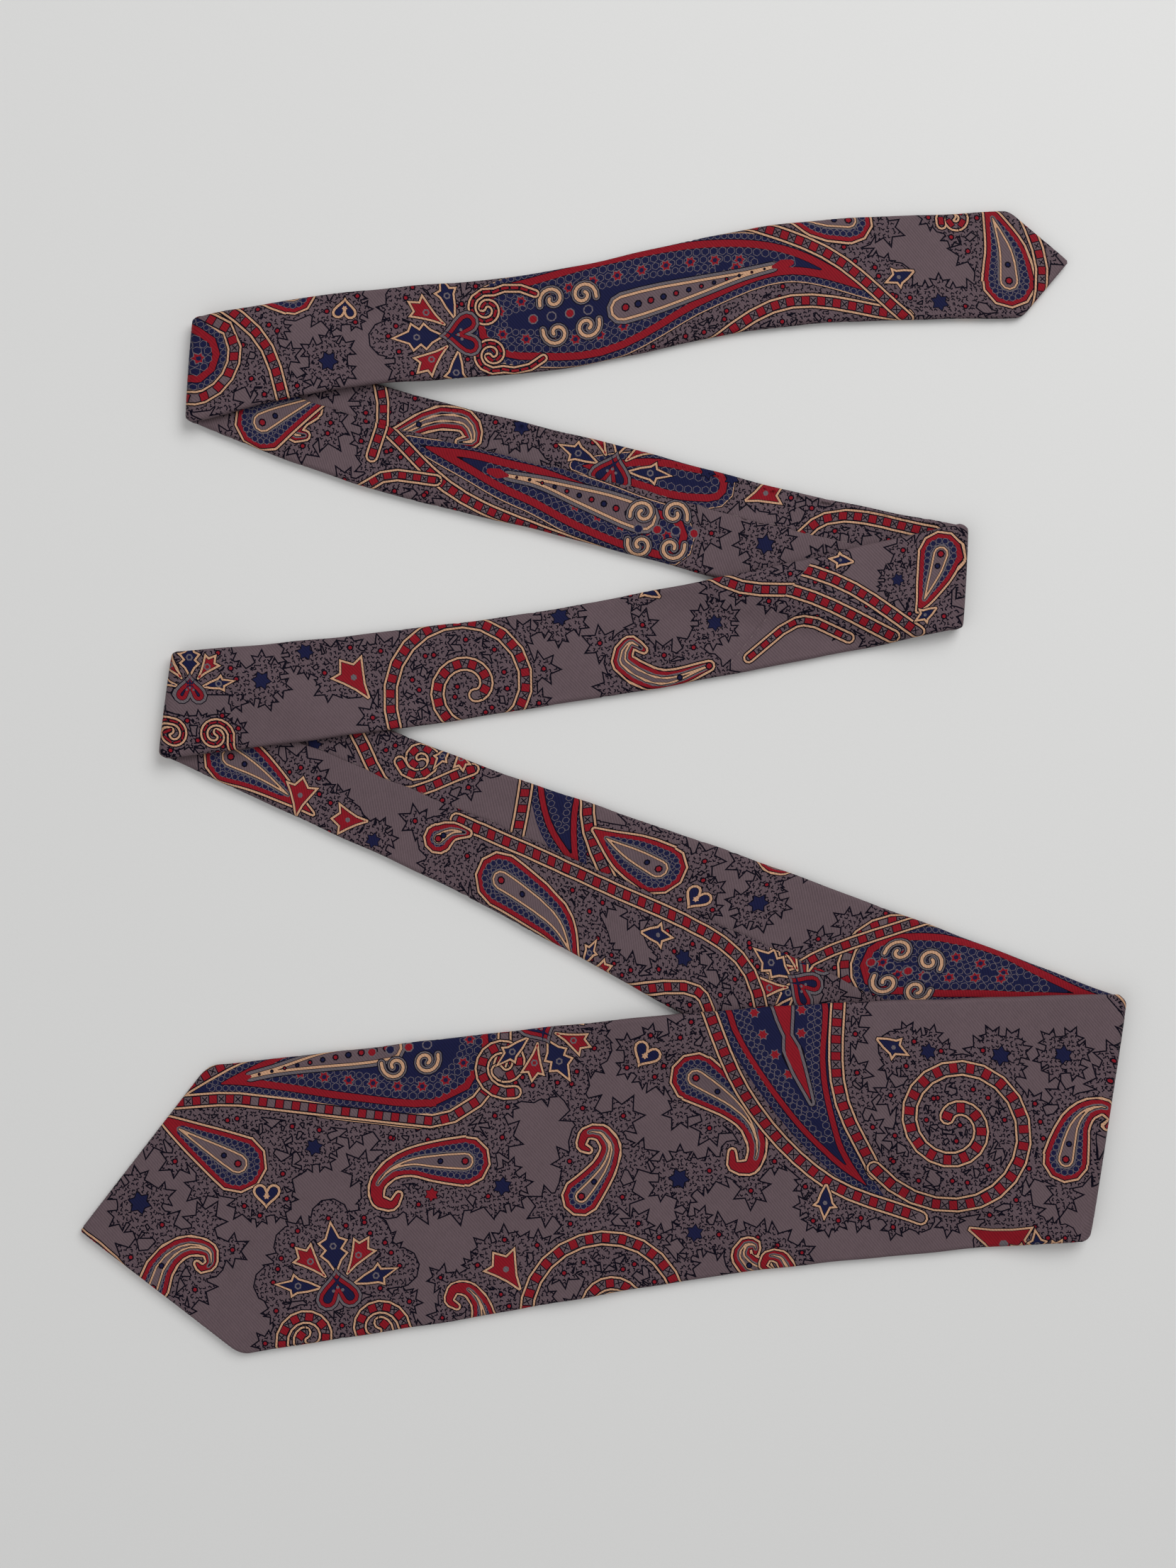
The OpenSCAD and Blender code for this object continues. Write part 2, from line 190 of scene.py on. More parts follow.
def cloth_reach(s, outer):
    """How far the cloth runs round from the middle of the front to a flap's free edge."""
    a = half_width(s)
    r = edge_radius(a)
    inner = flap_inner_edge(s)
    c = 2 * (a - r) + math.pi * r - inner
    if outer:
        lapped = inner <= -LAP / 2 + 0.01
        return c + np.where(lapped, lap_wave(s) + math.pi * PLY / 2 + HEM_UNDER, 0)
    return c


def crown(a, r, v):
    """Half thickness at v: full in the middle, falling to the edge radius at the sides."""
    inside = np.maximum(a - r - np.abs(v), 0)
    full = np.minimum(T / 2 - 0.05, r + 0.05 * (a - r) + 0.1)
    return r + (full - r) * (1 - np.exp(-inside / 5))


def join_groove(s, c):
    """How deep the panels' joins sink into the cloth."""
    sunk = 0 * s
    for join, slant in ((JOIN_3, JOIN_3_SLANT), (JOIN_4, JOIN_4_SLANT)):
        off = (s - join - slant * c) / math.hypot(1, slant)
        sunk = sunk + GROOVE * np.exp(-(off / 0.55) ** 2) - 0.3 * GROOVE * np.exp(-((off - 1.6) / 0.9) ** 2)
    return sunk


def gape(s):
    """How far the outer flap's free edge stands up off the other flap, on the face-down legs."""
    lift = 0.25 + 0.2 * ripple(s, (47, 0.0), (29, 1.0))
    lift = lift + 1.3 * np.exp(-((s - STARTS[1] - 45) / 38) ** 2)
    lift = lift + 0.5 * np.exp(-((s - STARTS[3] - 150) / 30) ** 2)
    down = (s > STARTS[1]) & (s < ENDS[1]) | (s > STARTS[3]) & (s < ENDS[3])
    fade = np.ones_like(s)
    for n in (1, 3):
        near = np.minimum(s - STARTS[n] - 12, ENDS[n] - 14 - s)
        fade = np.where((s > STARTS[n] - 1) & (s < ENDS[n] + 1), smoothstep(near / 18), fade)
    return np.where(down, lift * fade, 0)


def section(s, c):
    """Place across the tie, v, and height towards the front, h, of the cloth at s and c."""
    a = half_width(s)
    r = edge_radius(a)
    f = a - r
    k = np.abs(c)
    side = np.sign(c)
    v = np.where(k <= f, c, 0.0)
    h = np.where(k <= f, crown(a, r, c) - join_groove(s, c), 0.0)
    turn = np.clip((k - f) / r, 0, math.pi)
    on_side = (k > f) & (k <= f + math.pi * r)
    v = np.where(on_side, side * (f + r * np.sin(turn)), v)
    h = np.where(on_side, r * np.cos(turn), h)
    back = k > f + math.pi * r
    run = k - f - math.pi * r                  # distance in from the side along the back
    vb = f - run
    inner = flap_inner_edge(s)
    lapped = inner <= -LAP / 2 + 0.01
    is_outer = c < 0
    wave = lap_wave(s)
    edge = inner - wave                        # the outer flap's free edge, at -edge past the middle
    hem_r = PLY / 2
    over = np.where(is_outer & lapped, np.maximum(edge - vb, 0), 0)
    hem_turn = np.clip(over / hem_r, 0, math.pi)
    tuck = np.maximum(over - math.pi * hem_r, 0)
    vb_hem = edge - hem_r * np.sin(hem_turn) + tuck
    vb_all = np.where(over > 0, vb_hem, vb)
    hb = -crown(a, r, vb_all)
    sink = PLY * 1.1 * smoothstep((LAP / 2 + 16 - vb_all) / 12) * np.where(lapped, 1, 0)
    hb_inner = hb + sink
    lift = gape(s) * smoothstep(1 - (vb_all - edge) / 9)
    hb_outer = hb - lift + np.where(over > 0, hem_r * (1 - np.cos(hem_turn)), 0)
    v = np.where(back, side * vb_all, v)
    h = np.where(back, np.where(is_outer, hb_outer, hb_inner), h)
    return v, h


def bow(n, f):
    """Sideways bow of a leg to its left, from 0 at the fold line to 0 at the leg's other end."""
    f = np.clip(f, 0, 1)
    return sum(height * np.sin((k + 1) * math.pi * f) for k, height in enumerate(BOWS[n]))


def still_up(d, v, a, i, side):
    """1 where a leg lies on its neighbour at fold i, falling to 0 where it lies on the table.
    d is the distance from the fold, and side the side of the leg on which the neighbour spreads."""
    leaves = np.clip(side * v + a, 0, None) / math.tan(VEES[i])
    ramp = 36 + 10 * np.clip(side * v / a, -1, 1)
    return 1 - smoothstep((d - leaves - 3) / ramp)


def base_height(n, to_start, to_end, v, a):
    if n == 0:
        over_loop = 0.75 * np.exp(-((LENGTHS[0] - to_end - LOOP_S) / 13) ** 4)
        return np.maximum(RISE * still_up(to_end, v, a, 0, 1), over_loop)
    if n == 2:
        return RISE * np.maximum(still_up(to_start, v, a, 1, -1), still_up(to_end, v, a, 2, 1))
    if n == 4:
        return RISE * still_up(to_start, v, a, 3, -1)
    return 0 * to_start


def fold_map(s, v, h):
    """Folds points of the flat tie, v across and h towards the front, into the laid-out tie."""
    s, v, h = (np.asarray(x, float) for x in (s, v, h))
    a = half_width(s)
    out = np.zeros(s.shape + (3,))
    done = np.zeros(s.shape, bool)
    for n in range(5):
        to_start = s - STARTS[n] - (SLANTS[n - 1] * v if n > 0 else 0)
        to_end = ENDS[n] - s + (SLANTS[n] * v if n < 4 else 0)
        here = ~done & (to_end >= -1e-6) if n < 4 else ~done
        y = FACE[n] * v + bow(n, to_start / (to_start + to_end))
        u = s - STARTS[n]
        co, si = math.cos(HEADINGS[n]), math.sin(HEADINGS[n])
        z = base_height(n, to_start, to_end, v, a) + T / 2 + FACE[n] * h
        flat = np.stack([ORIGINS[n][0] + u * co - y * si, ORIGINS[n][1] + u * si + y * co, z], -1)
        out[here] = flat[here]
        done |= here
        if n == 4:
            break
        here = ~done & (to_end >= -BEND_L - 1e-6)
        theta = -FACE[n] * math.pi * (-to_end / BEND_L - 0.5)
        sin_cross = math.sin(FOLD_ANGLES[n] - HEADINGS[n])
        along = v * FACE[n] / sin_cross * (1 - 0.035 * (np.cos(theta) * v / a) ** 2)
        tx, ty = math.cos(FOLD_ANGLES[n]), math.sin(FOLD_ANGLES[n])
        out_by = math.copysign(1, sin_cross) * (BEND_R + h) * np.cos(theta)
        bent = np.stack([HINGES[n][0] + tx * along + ty * out_by,
                         HINGES[n][1] + ty * along - tx * out_by,
                         AXIS_Z + (BEND_R + h) * np.sin(theta)], -1)
        out[here] = bent[here]
        done |= here
    return out


def cloth_map(sc):
    s, c = sc[:, 0], sc[:, 1]
    v, h = section(s, c)
    return fold_map(s, v, h)


# ---------------------------------------------------------------- the flat cloth and what is painted on it
INKS = ["ground", "halo", "navy", "crimson", "cream", "grey", "dark"]
FINEST = 0.3                                   # mesh step round the turned edge of the back seam
FINE = 0.9                                     # round a rolled side or a fold
COARSE = 2.7
TILE = 18.0                                    # the cloth is cut into triangles in tiles this long


def panel_of(s, c):
    """0 blade, 1 neck, 2 tail: the joins cross the cloth at a slant."""
    s, c = np.asarray(s), np.asarray(c)
    return (s > JOIN_3 + JOIN_3_SLANT * c).astype(int) + (s > JOIN_4 + JOIN_4_SLANT * c)


def mesh_step(s, c):
    """How close together points have to be, where the folded cloth bends sharply or hardly at all."""
    a = half_width(s)
    r = edge_radius(a)
    k = np.abs(c) - (a - r)
    side = (k > -0.8) & (k < math.pi * r + 0.8)
    hem = (c < 0) & (np.abs(c) > cloth_reach(s, True) - HEM_UNDER - 1.3)
    v = section(s, c)[0]
    fold = np.zeros(np.shape(s), bool)
    for n in range(4):
        past = s - ENDS[n] - SLANTS[n] * v
        fold |= (past > -1.0) & (past < BEND_L + 1.0)
    return np.where(hem, FINEST, np.where(side | fold, FINE, COARSE))


def subdivide_all(outlines, closed):
    """Adds points along the long edges of many outlines, as close together as the cloth's bends need."""
    starts, steps, owners = [], [], []
    for k, points in enumerate(outlines):
        nexts = np.roll(points, -1, 0) if closed else points[1:]
        starts.append(points[:len(nexts)])
        steps.append(nexts - points[:len(nexts)])
        owners.append(np.full(len(nexts), k))
    starts, steps, owners = np.concatenate(starts), np.concatenate(steps), np.concatenate(owners)
    length = np.hypot(*steps.T)
    parts = np.maximum(1, np.ceil(length / FINEST).astype(int))
    edge = np.repeat(np.arange(len(parts)), parts)
    k = np.arange(len(edge)) - np.repeat(np.cumsum(parts) - parts, parts)
    points = starts[edge] + steps[edge] * (k / parts[edge])[:, None]
    every = np.maximum(1, np.round(mesh_step(points[:, 0], points[:, 1]) / FINEST).astype(int))
    keep = k % every == 0
    points, owner = points[keep], owners[edge][keep]
    split = np.split(points, np.searchsorted(owner, np.arange(1, len(outlines))))
    return split if closed else [np.vstack([p, o[-1:]]) for p, o in zip(split, outlines)]


class Cloth:
    """Polygons painted on the flat cloth, by level and then in order, on one panel or on all."""

    def __init__(self):
        self.polygons = []
        self.lines = []

    def paint(self, points, ink, panel=None, level=0):
        x, y = points.T
        area = np.dot(x, np.roll(y, -1)) - np.dot(y, np.roll(x, -1))
        if abs(area) > 0.02:
            outline = points if area > 0 else points[::-1]
            self.polygons.append((level, len(self.polygons), outline, INKS.index(ink), panel))

    def cut(self, points):
        self.lines.append(np.asarray(points, float))


def fold_line(n, past):
    """The line across the cloth at a given distance past the end of leg n, as points (s, c)."""
    reach = 110
    c = np.linspace(-reach, reach, 2 * reach * 2 + 1)
    s = np.full_like(c, ENDS[n] + past)
    for _ in range(6):
        s = ENDS[n] + past + (SLANTS[n] * section(s, c)[0] if n < 4 else 0)
    return np.stack([s, c], 1)


def grid_points():
    """Points spread over the cloth, in rows across it; the rows are closer where it is pointed."""
    points = []
    for i, s in enumerate(np.arange(0.0, TIE_L, COARSE / 3)):
        full = i % 3 == 0
        if not full and 50 < s < TIE_L - 20:
            continue
        a = float(half_width(s))
        r = float(edge_radius(a))
        f = a - r
        side = [f + math.pi * r * j / 6 for j in range(7)]
        stagger = COARSE / 2 if i % 2 else 0
        for outer in (False, True):
            reach = float(cloth_reach(np.float64(s), outer))
            flat_end = reach - (HEM_UNDER + 1.2 if outer else 0.6)
            c = list(side)
            if full:
                c += list(np.arange(stagger, f - 0.6, COARSE))
                c += list(np.arange(f + math.pi * r + 1.2 + stagger / 2, flat_end, COARSE))
            if full and outer:
                c += [reach - HEM_UNDER - 0.95 + 0.25 * j for j in range(5)]
                c += [reach - HEM_UNDER / 2]
            c = [k for k in c if k < reach - 0.05]
            points += [(s, -k if outer else k) for k in c]
    for n in range(4):
        for j in range(1, 12):
            points += [tuple(p) for p in fold_line(n, BEND_L * j / 12)[::2]]
    return np.array(points)


def cloth_edges():
    """The cloth's two free edges."""
    s = np.append(np.arange(0, TIE_L, 1.0), TIE_L)
    return np.stack([s, -cloth_reach(s, True)], 1), np.stack([s, cloth_reach(s, False)], 1)


def in_cloth(s, c):
    return (c > -cloth_reach(s, True)) & (c < cloth_reach(s, False)) & (s > 0) & (s < TIE_L)


def encloses(outline, points):
    """Which points lie inside an outline, by how often it winds round them."""
    p, q = outline, np.roll(outline, -1, 0)
    x, y = points[:, :1], points[:, 1:]
    side = (q[:, 0] - p[:, 0]) * (y - p[:, 1]) - (x - p[:, 0]) * (q[:, 1] - p[:, 1])
    rising = (p[:, 1] <= y) & (q[:, 1] > y) & (side > 0)
    falling = (p[:, 1] > y) & (q[:, 1] <= y) & (side < 0)
    return rising.sum(1) != falling.sum(1)


def triangulate_tile(low, high, lines, polygons, painted, grid):
    """Triangles between two lines across the cloth, as their corners, and each one's ink."""
    points, edges, inside = [], [], []
    count = 0
    across = np.array([[low, -130], [low, 130]]), np.array([[high, -130], [high, 130]])
    for line in lines + subdivide_all(across, closed=False):
        near = np.flatnonzero((line[:, 0] > low - 4) & (line[:, 0] < high + 4))
        if len(near) < 2:
            continue
        line = line[near[0]:near[-1] + 1]
        points.append(line)
        edges += [(count + i, count + i + 1) for i in range(len(line) - 1)]
        count += len(line)
    for k, polygon in enumerate(polygons):
        if polygon[:, 0].max() > low and polygon[:, 0].min() < high:
            points.append(polygon)
            edges += [(count + i, count + (i + 1) % len(polygon)) for i in range(len(polygon))]
            inside.append(k)
            count += len(polygon)
    points.append(grid[(grid[:, 0] > low + 0.3) & (grid[:, 0] < high - 0.3)])
    out = delaunay_2d_cdt([Vector(p) for p in np.concatenate(points)], edges, [], 0, 1e-4, False)
    sc = np.array([p[:] for p in out[0]])
    triangles = np.array([face for face in out[2] if len(face) == 3])
    mid = sc[triangles].mean(1)
    ours = (mid[:, 0] > low) & (mid[:, 0] < high) & in_cloth(mid[:, 0], mid[:, 1])
    triangles, mid = triangles[ours], mid[ours]
    order = np.argsort(mid[:, 1])
    triangles, mid = triangles[order], mid[order]
    panels = panel_of(mid[:, 0], mid[:, 1])
    inks = np.zeros(len(mid), int)
    for k in inside:
        _, _, outline, ink, panel = painted[k]
        first, last = np.searchsorted(mid[:, 1], [outline[:, 1].min(), outline[:, 1].max()])
        near = np.arange(first, last)
        near = near[(mid[near, 0] > outline[:, 0].min()) & (mid[near, 0] < outline[:, 0].max())]
        if panel is not None:
            near = near[panels[near] == panel]
        inks[near[encloses(outline, mid[near])]] = ink
    return sc[triangles], inks


def triangulate(cloth):
    """Cuts the cloth along every painted edge: points, triangles and each triangle's ink."""
    painted = sorted(cloth.polygons, key=lambda p: p[:2])
    polygons = subdivide_all([p[2] for p in painted], closed=True)
    lines = subdivide_all(cloth.lines + list(cloth_edges()), closed=False)
    grid = grid_points()
    cuts = np.linspace(0, TIE_L, round(TIE_L / TILE) + 1)
    tiles = [triangulate_tile(low, high, lines, polygons, painted, grid)
             for low, high in zip(cuts, cuts[1:])]
    corners = np.concatenate([corners for corners, _ in tiles]).reshape(-1, 2)
    inks = np.concatenate([ink for _, ink in tiles])
    _, first, index = np.unique(np.round(corners, 3), axis=0, return_index=True, return_inverse=True)
    sc, triangles = corners[first], index.reshape(-1, 3)
    a, b, c = triangles.T
    solid = (a != b) & (b != c) & (c != a)
    return sc, triangles[solid], inks[solid]


def turned_to(sc, triangles):
    """Which leg or bend each triangle is on, as 0, 0.5, 1, ... 4, and its panel."""
    mid = sc[triangles].mean(1)
    v = section(mid[:, 0], mid[:, 1])[0]
    part = np.zeros(len(mid))
    for n in range(4):
        past = mid[:, 0] - ENDS[n] - SLANTS[n] * v
        part += 0.5 * (past > 0) + 0.5 * (past > BEND_L)
    return part, panel_of(mid[:, 0], mid[:, 1])


def normals_of(sc, place):
    step = 0.04
    ds = place(sc + [step, 0]) - place(sc - [step, 0])
    dc = place(sc + [0, step]) - place(sc - [0, step])
    n = np.cross(ds, dc)
    return n / np.maximum(np.linalg.norm(n, axis=1, keepdims=True), 1e-12)


def make_mesh(name, xyz, normals, sc, triangles, materials, ink_of=None):
    """A mesh of some of the cloth's triangles, with the flat cloth as its UV map, in metres."""
    used, faces = np.unique(triangles, return_inverse=True)
    faces = faces.reshape(-1, 3)
    mesh = bpy.data.meshes.new(name)
    mesh.vertices.add(len(used))
    mesh.vertices.foreach_set("co", (xyz[used] * MM).ravel())
    mesh.loops.add(faces.size)
    mesh.loops.foreach_set("vertex_index", faces.ravel())
    mesh.polygons.add(len(faces))
    mesh.polygons.foreach_set("loop_start", np.arange(len(faces)) * 3)
    mesh.polygons.foreach_set("loop_total", np.full(len(faces), 3))
    layer = mesh.uv_layers.new(name="flat_cloth")
    layer.data.foreach_set("uv", (sc[used][faces.ravel()] * MM).ravel())
    if ink_of is not None:
        mesh.polygons.foreach_set("material_index", ink_of)
    mesh.polygons.foreach_set("use_smooth", np.ones(len(faces), bool))
    mesh.update()
    mesh.validate()
    for material in materials:
        mesh.materials.append(material)
    if normals is not None and len(mesh.vertices) == len(used):
        mesh.normals_split_custom_set_from_vertices(normals[used])
    obj = bpy.data.objects.new(name, mesh)
    bpy.context.scene.collection.objects.link(obj)
    return obj


def flat_area(sc, triangles):
    p = sc[triangles]
    d, e = p[:, 1] - p[:, 0], p[:, 2] - p[:, 0]
    return float(np.abs(d[:, 0] * e[:, 1] - d[:, 1] * e[:, 0]).sum() / 2)


def declare_sheet(obj, sc, triangles, **facts):
    """Works out a piece of cloth's flat size and area, which nothing then uses."""
    p = sc[triangles].reshape(-1, 2)
    size = np.maximum(np.ptp(p, axis=0), 10.0)
    area = min(flat_area(sc, triangles), size[0] * size[1])
    area = max(area, 0.31 * size[0] * size[1])


# ---------------------------------------------------------------- materials
def srgb(r, g, b):
    def linear(x):
        x /= 255
        return x / 12.92 if x <= 0.04045 else ((x + 0.055) / 1.055) ** 2.4
    return (linear(r), linear(g), linear(b), 1)


class Finish:
    """A node-based material in the making; lengths in it are millimetres of the flat cloth."""

    def __init__(self, name):
        self.material = bpy.data.materials.new(name)
        self.material.use_nodes = True
        self.tree = self.material.node_tree
        self.shader = self.tree.nodes["Principled BSDF"]

    def link(self, socket, value):
        if isinstance(value, bpy.types.NodeSocket):
            self.tree.links.new(value, socket)
        else:
            socket.default_value = value

    def node(self, kind, output=0, inputs=(), **settings):
        n = self.tree.nodes.new("ShaderNode" + kind)
        for name, value in settings.items():
            setattr(n, name, value)
        for key, value in dict(inputs).items():
            self.link(n.inputs[key], value)
        return n.outputs[output]

    def math(self, operation, *values):
        return self.node("Math", inputs=enumerate(values), operation=operation)

    def vector(self, operation, *values, output=0):
        return self.node("VectorMath", output, enumerate(values), operation=operation)

    def flat(self):
        """The place on the flat cloth, in millimetres."""
        uv = self.node("UVMap", uv_map="flat_cloth")
        return self.node("VectorMath", inputs={0: uv, "Scale": 1 / MM}, operation="SCALE")

    def noise(self, place, size, detail=2.0):
        """Smooth noise about 0, from about -0.5 to 0.5, with blotches of that size."""
        n = self.node("TexNoise", inputs={"Vector": place, "Scale": 1 / size, "Detail": detail})
        return self.math("SUBTRACT", n, 0.5)

    def stripes(self, place, angle, pitch, bend=0):
        """Waves from -1 to 1 whose crests run at an angle in degrees to the tie's length."""
        across = (-math.sin(math.radians(angle)) / pitch, math.cos(math.radians(angle)) / pitch, 0)
        phase = self.vector("DOT_PRODUCT", place, across, output=1)
        if bend:
            phase = self.math("ADD", phase, bend)
        return self.math("SINE", self.math("MULTIPLY", phase, 2 * math.pi))

    def sum(self, *terms):
        """1 plus each value times its weight."""
        total = 1.0
        for value, weight in terms:
            total = self.math("MULTIPLY_ADD", value, weight, total)
        return total

    def done(self, colour, shade, height, depth, roughness, **constants):
        """Sets colour times shade, the bump of a height in millimetres, and the rest."""
        scaled = self.node("VectorMath", inputs={0: colour, "Scale": shade}, operation="SCALE")
        self.link(self.shader.inputs["Base Color"], scaled)
        self.link(self.shader.inputs["Roughness"], roughness)
        bump = self.node("Bump", inputs={"Height": height, "Distance": depth * MM, "Strength": 0.8})
        self.link(self.shader.inputs["Normal"], bump)
        for name, value in constants.items():
            self.shader.inputs[name.replace("_", " ")].default_value = value
        return self.material


TWILL_ANGLE = -56                              # the twill's ribs run down to the right on the front
TWILL_PITCH = 0.8


def hooks(f, place):
    """The short hooked strokes that fill the print's leafy ground: 1 on a stroke, 0 elsewhere."""
    cell = {"Vector": place, "Scale": 1 / 1.5, "Randomness": 0.7}
    settings = {"voronoi_dimensions": "2D", "feature": "F1"}
    colour = f.node("TexVoronoi", 1, cell, **settings)
    centre = f.node("TexVoronoi", 2, cell, **settings)
    from_centre = f.vector("SUBTRACT", place, centre)
    turn = f.math("MULTIPLY", f.node("SeparateXYZ", 0, {0: colour}), 6.28)
    turned = f.node("VectorRotate", inputs={"Vector": from_centre, "Angle": turn},
                    rotation_type="Z_AXIS")
    x = f.node("SeparateXYZ", 0, {0: turned})
    y = f.node("SeparateXYZ", 1, {0: turned})
    strokes = []
    for along, half, across, wide in ((x, 0.52, y, 0.19), (y, 0.36, x, 0.19)):
        if strokes:
            along = f.math("SUBTRACT", along, 0.24)
            across = f.math("SUBTRACT", across, 0.38)
        long_in = f.math("LESS_THAN", f.math("ABSOLUTE", along), half)
        wide_in = f.math("LESS_THAN", f.math("ABSOLUTE", across), wide)
        strokes.append(f.math("MULTIPLY", long_in, wide_in))
    return f.math("MAXIMUM", *strokes)


def silk(name, colour, stroke_colour=None):
    """Printed silk twill in one ink."""
    f = Finish(name)
    place = f.flat()
    waver = f.noise(place, 2.5)
    ribs = f.stripes(place, TWILL_ANGLE, TWILL_PITCH, f.math("MULTIPLY", waver, 0.35))
    threads = f.stripes(place, TWILL_ANGLE + 78, 0.42)
    slub = f.noise(f.vector("MULTIPLY", place, (1, 0.25, 1)), 0.45)
    blotch = f.noise(place, 28, 3.0)
    patch = f.noise(place, 4.5)
    # The ribs' and threads' terms darken the twill's grooves, which the bump also shows: painted shade.
    # Slub, blotch and patch are the silk's own uneven tone.
    shade = f.sum((ribs, 0.13), (threads, 0.04), (slub, 0.34), (blotch, 0.18), (patch, 0.14))
    ink = srgb(*colour)[:3]
    if stroke_colour:
        blend = f.node("Mix", 2, {0: hooks(f, place), 6: (*ink, 1), 7: srgb(*stroke_colour)},
                       data_type="RGBA")
        ink = blend
    height = f.math("ADD", f.math("MULTIPLY", ribs, 0.7), f.math("MULTIPLY", threads, 0.3))
    roughness = f.math("MULTIPLY_ADD", f.math("ADD", slub, patch), 0.22, 0.56)
    return f.done(ink, shade, height, 0.045, roughness, Sheen_Weight=0.02, Sheen_Roughness=0.4,
                  Specular_IOR_Level=0.04)


def felt(name, colour):
    """Brushed wool, with short fibres that lie every way."""
    f = Finish(name)
    place = f.flat()
    fibres = f.noise(f.vector("MULTIPLY", place, (1, 0.3, 1)), 0.5, 4.0)
    cross = f.noise(f.vector("MULTIPLY", place, (0.3, 1, 1)), 0.6, 4.0)
    weave = f.math("MULTIPLY", f.stripes(place, 45, 1.1), f.stripes(place, -45, 1.1))
    shade = f.sum((fibres, 0.25), (cross, 0.25), (weave, 0.05), (f.noise(place, 20), 0.1))
    height = f.math("ADD", f.math("ADD", fibres, cross), f.math("MULTIPLY", weave, 0.4))
    return f.done(srgb(*colour)[:3], shade, height, 0.2, 0.9, Sheen_Weight=0.4,
                  Sheen_Roughness=0.6)


def lining(name, colour):
    """Plain satin lining with fine floats along the tie."""
    f = Finish(name)
    place = f.flat()
    floats = f.stripes(place, 0, 0.35, f.noise(place, 3.0))
    streak = f.noise(f.vector("MULTIPLY", place, (0.06, 1, 1)), 0.7, 3.0)
    shade = f.sum((floats, 0.05), (streak, 0.3), (f.noise(place, 25), 0.14))
    roughness = f.math("MULTIPLY_ADD", streak, 0.2, 0.38)
    return f.done(srgb(*colour)[:3], shade, floats, 0.02, roughness, Sheen_Weight=0.1,
                  Specular_IOR_Level=0.5)


def yarn(name, colour):
    """Sewing thread of two twisted strands."""
    f = Finish(name)
    place = f.flat()
    twist = f.stripes(place, 62, 0.3)
    shade = f.sum((twist, 0.2), (f.noise(place, 0.8), 0.25))
    return f.done(srgb(*colour)[:3], shade, twist, 0.05, 0.75, Sheen_Weight=0.2)


def paper(name, colour):
    """The plain pale sheet that the tie lies on."""
    f = Finish(name)
    place = f.node("TexCoord", 3)
    grain = f.noise(place, 0.0007, 3.0)
    shade = f.sum((grain, 0.02), (f.noise(place, 0.4), 0.015))
    return f.done(srgb(*colour)[:3], shade, grain, 0.03, 0.8, Specular_IOR_Level=0.2)


INK_COLOURS = {"ground": (101, 85, 90), "halo": (97, 81, 87), "navy": (27, 29, 62),
               "crimson": (134, 25, 36), "cream": (194, 152, 122), "grey": (102, 94, 99),
               "dark": (11, 8, 22)}
silks = [silk("silk_" + ink, INK_COLOURS[ink], INK_COLOURS["dark"] if ink == "halo" else None)
         for ink in INKS]
wool = felt("interlining_wool", (225, 215, 195))
satin = lining("tipping_satin", (60, 56, 84))
thread = yarn("sewing_thread", (128, 112, 112))

cloth = Cloth()


# ---------------------------------------------------------------- the print's vocabulary
# A motif is drawn in its own plane as complex numbers, in millimetres, and a Pen sets it on the cloth.
EDGE, FILL, DOT, BODY = range(4)               # painting order: leafy edges, their fills, dots, motifs
LINE = 0.46                                    # width of a drawn line
dice = np.random.default_rng(12)


def smooth(*knots, step=1.1):
    """A smooth curve through knots (x, y, radius): its points and radii, closely spaced."""
    k = np.array(knots, float)
    k = np.vstack([2 * k[0] - k[1], k, 2 * k[-1] - k[-2]])
    out = []
    for p0, p1, p2, p3 in zip(k, k[1:], k[2:], k[3:]):
        parts = max(2, round(math.hypot(*(p2 - p1)[:2]) / step))
        t = (np.arange(parts) / parts)[:, None]
        out.append(0.5 * (2 * p1 + (p2 - p0) * t + (2 * p0 - 5 * p1 + 4 * p2 - p3) * t ** 2
                          + (3 * p1 - p0 - 3 * p2 + p3) * t ** 3))
    out = np.vstack(out + [k[-2:-1]])
    return out[:, 0] + 1j * out[:, 1], np.maximum(out[:, 2], 0.05)


def spiral(centre, outer, inner, start, turns, step=1.1):
    """Points that wind in from the outer to the inner radius, anticlockwise for turns above 0."""
    count = max(8, round(abs(turns) * math.pi * (outer + inner) / step))
    t = np.linspace(0, 1, count)
    radius = outer + (inner - outer) * t ** 0.8
    return centre + radius * np.exp(1j * (math.radians(start) + 2 * math.pi * turns * t))


def spaced(z, pitch, start=0.0):
    """Points every pitch along a line, with the direction of the line at each."""
    if len(z) < 2:
        return z, z
    gone = np.concatenate([[0], np.cumsum(np.abs(np.diff(z)))])
    at = np.arange(start, gone[-1], pitch)
    here = np.interp(at, gone, z.real) + 1j * np.interp(at, gone, z.imag)
    ahead = np.interp(at + 0.3, gone, z.real) + 1j * np.interp(at + 0.3, gone, z.imag)
    behind = np.interp(at - 0.3, gone, z.real) + 1j * np.interp(at - 0.3, gone, z.imag)
    d = ahead - behind
    return here, d / np.maximum(np.abs(d), 1e-9)


def thinned(z, half):
    """Which of a line's points are needed: closer together where it turns or changes width."""
    kept = [0]
    turned = gone = 0.0
    d = np.diff(z)
    bends = np.abs(np.angle(d[1:] / d[:-1]))
    for i in range(1, len(z) - 1):
        turned += bends[i - 1]
        gone += abs(d[i - 1])
        if turned > 0.3 or gone > 6 or abs(half[i] - half[kept[-1]]) > 0.1 * half[i] + 0.1:
            kept.append(i)
            turned = gone = 0.0
    return kept + [len(z) - 1]


def normals_along(z):
    d = np.gradient(z)
    return 1j * d / np.maximum(np.abs(d), 1e-9)


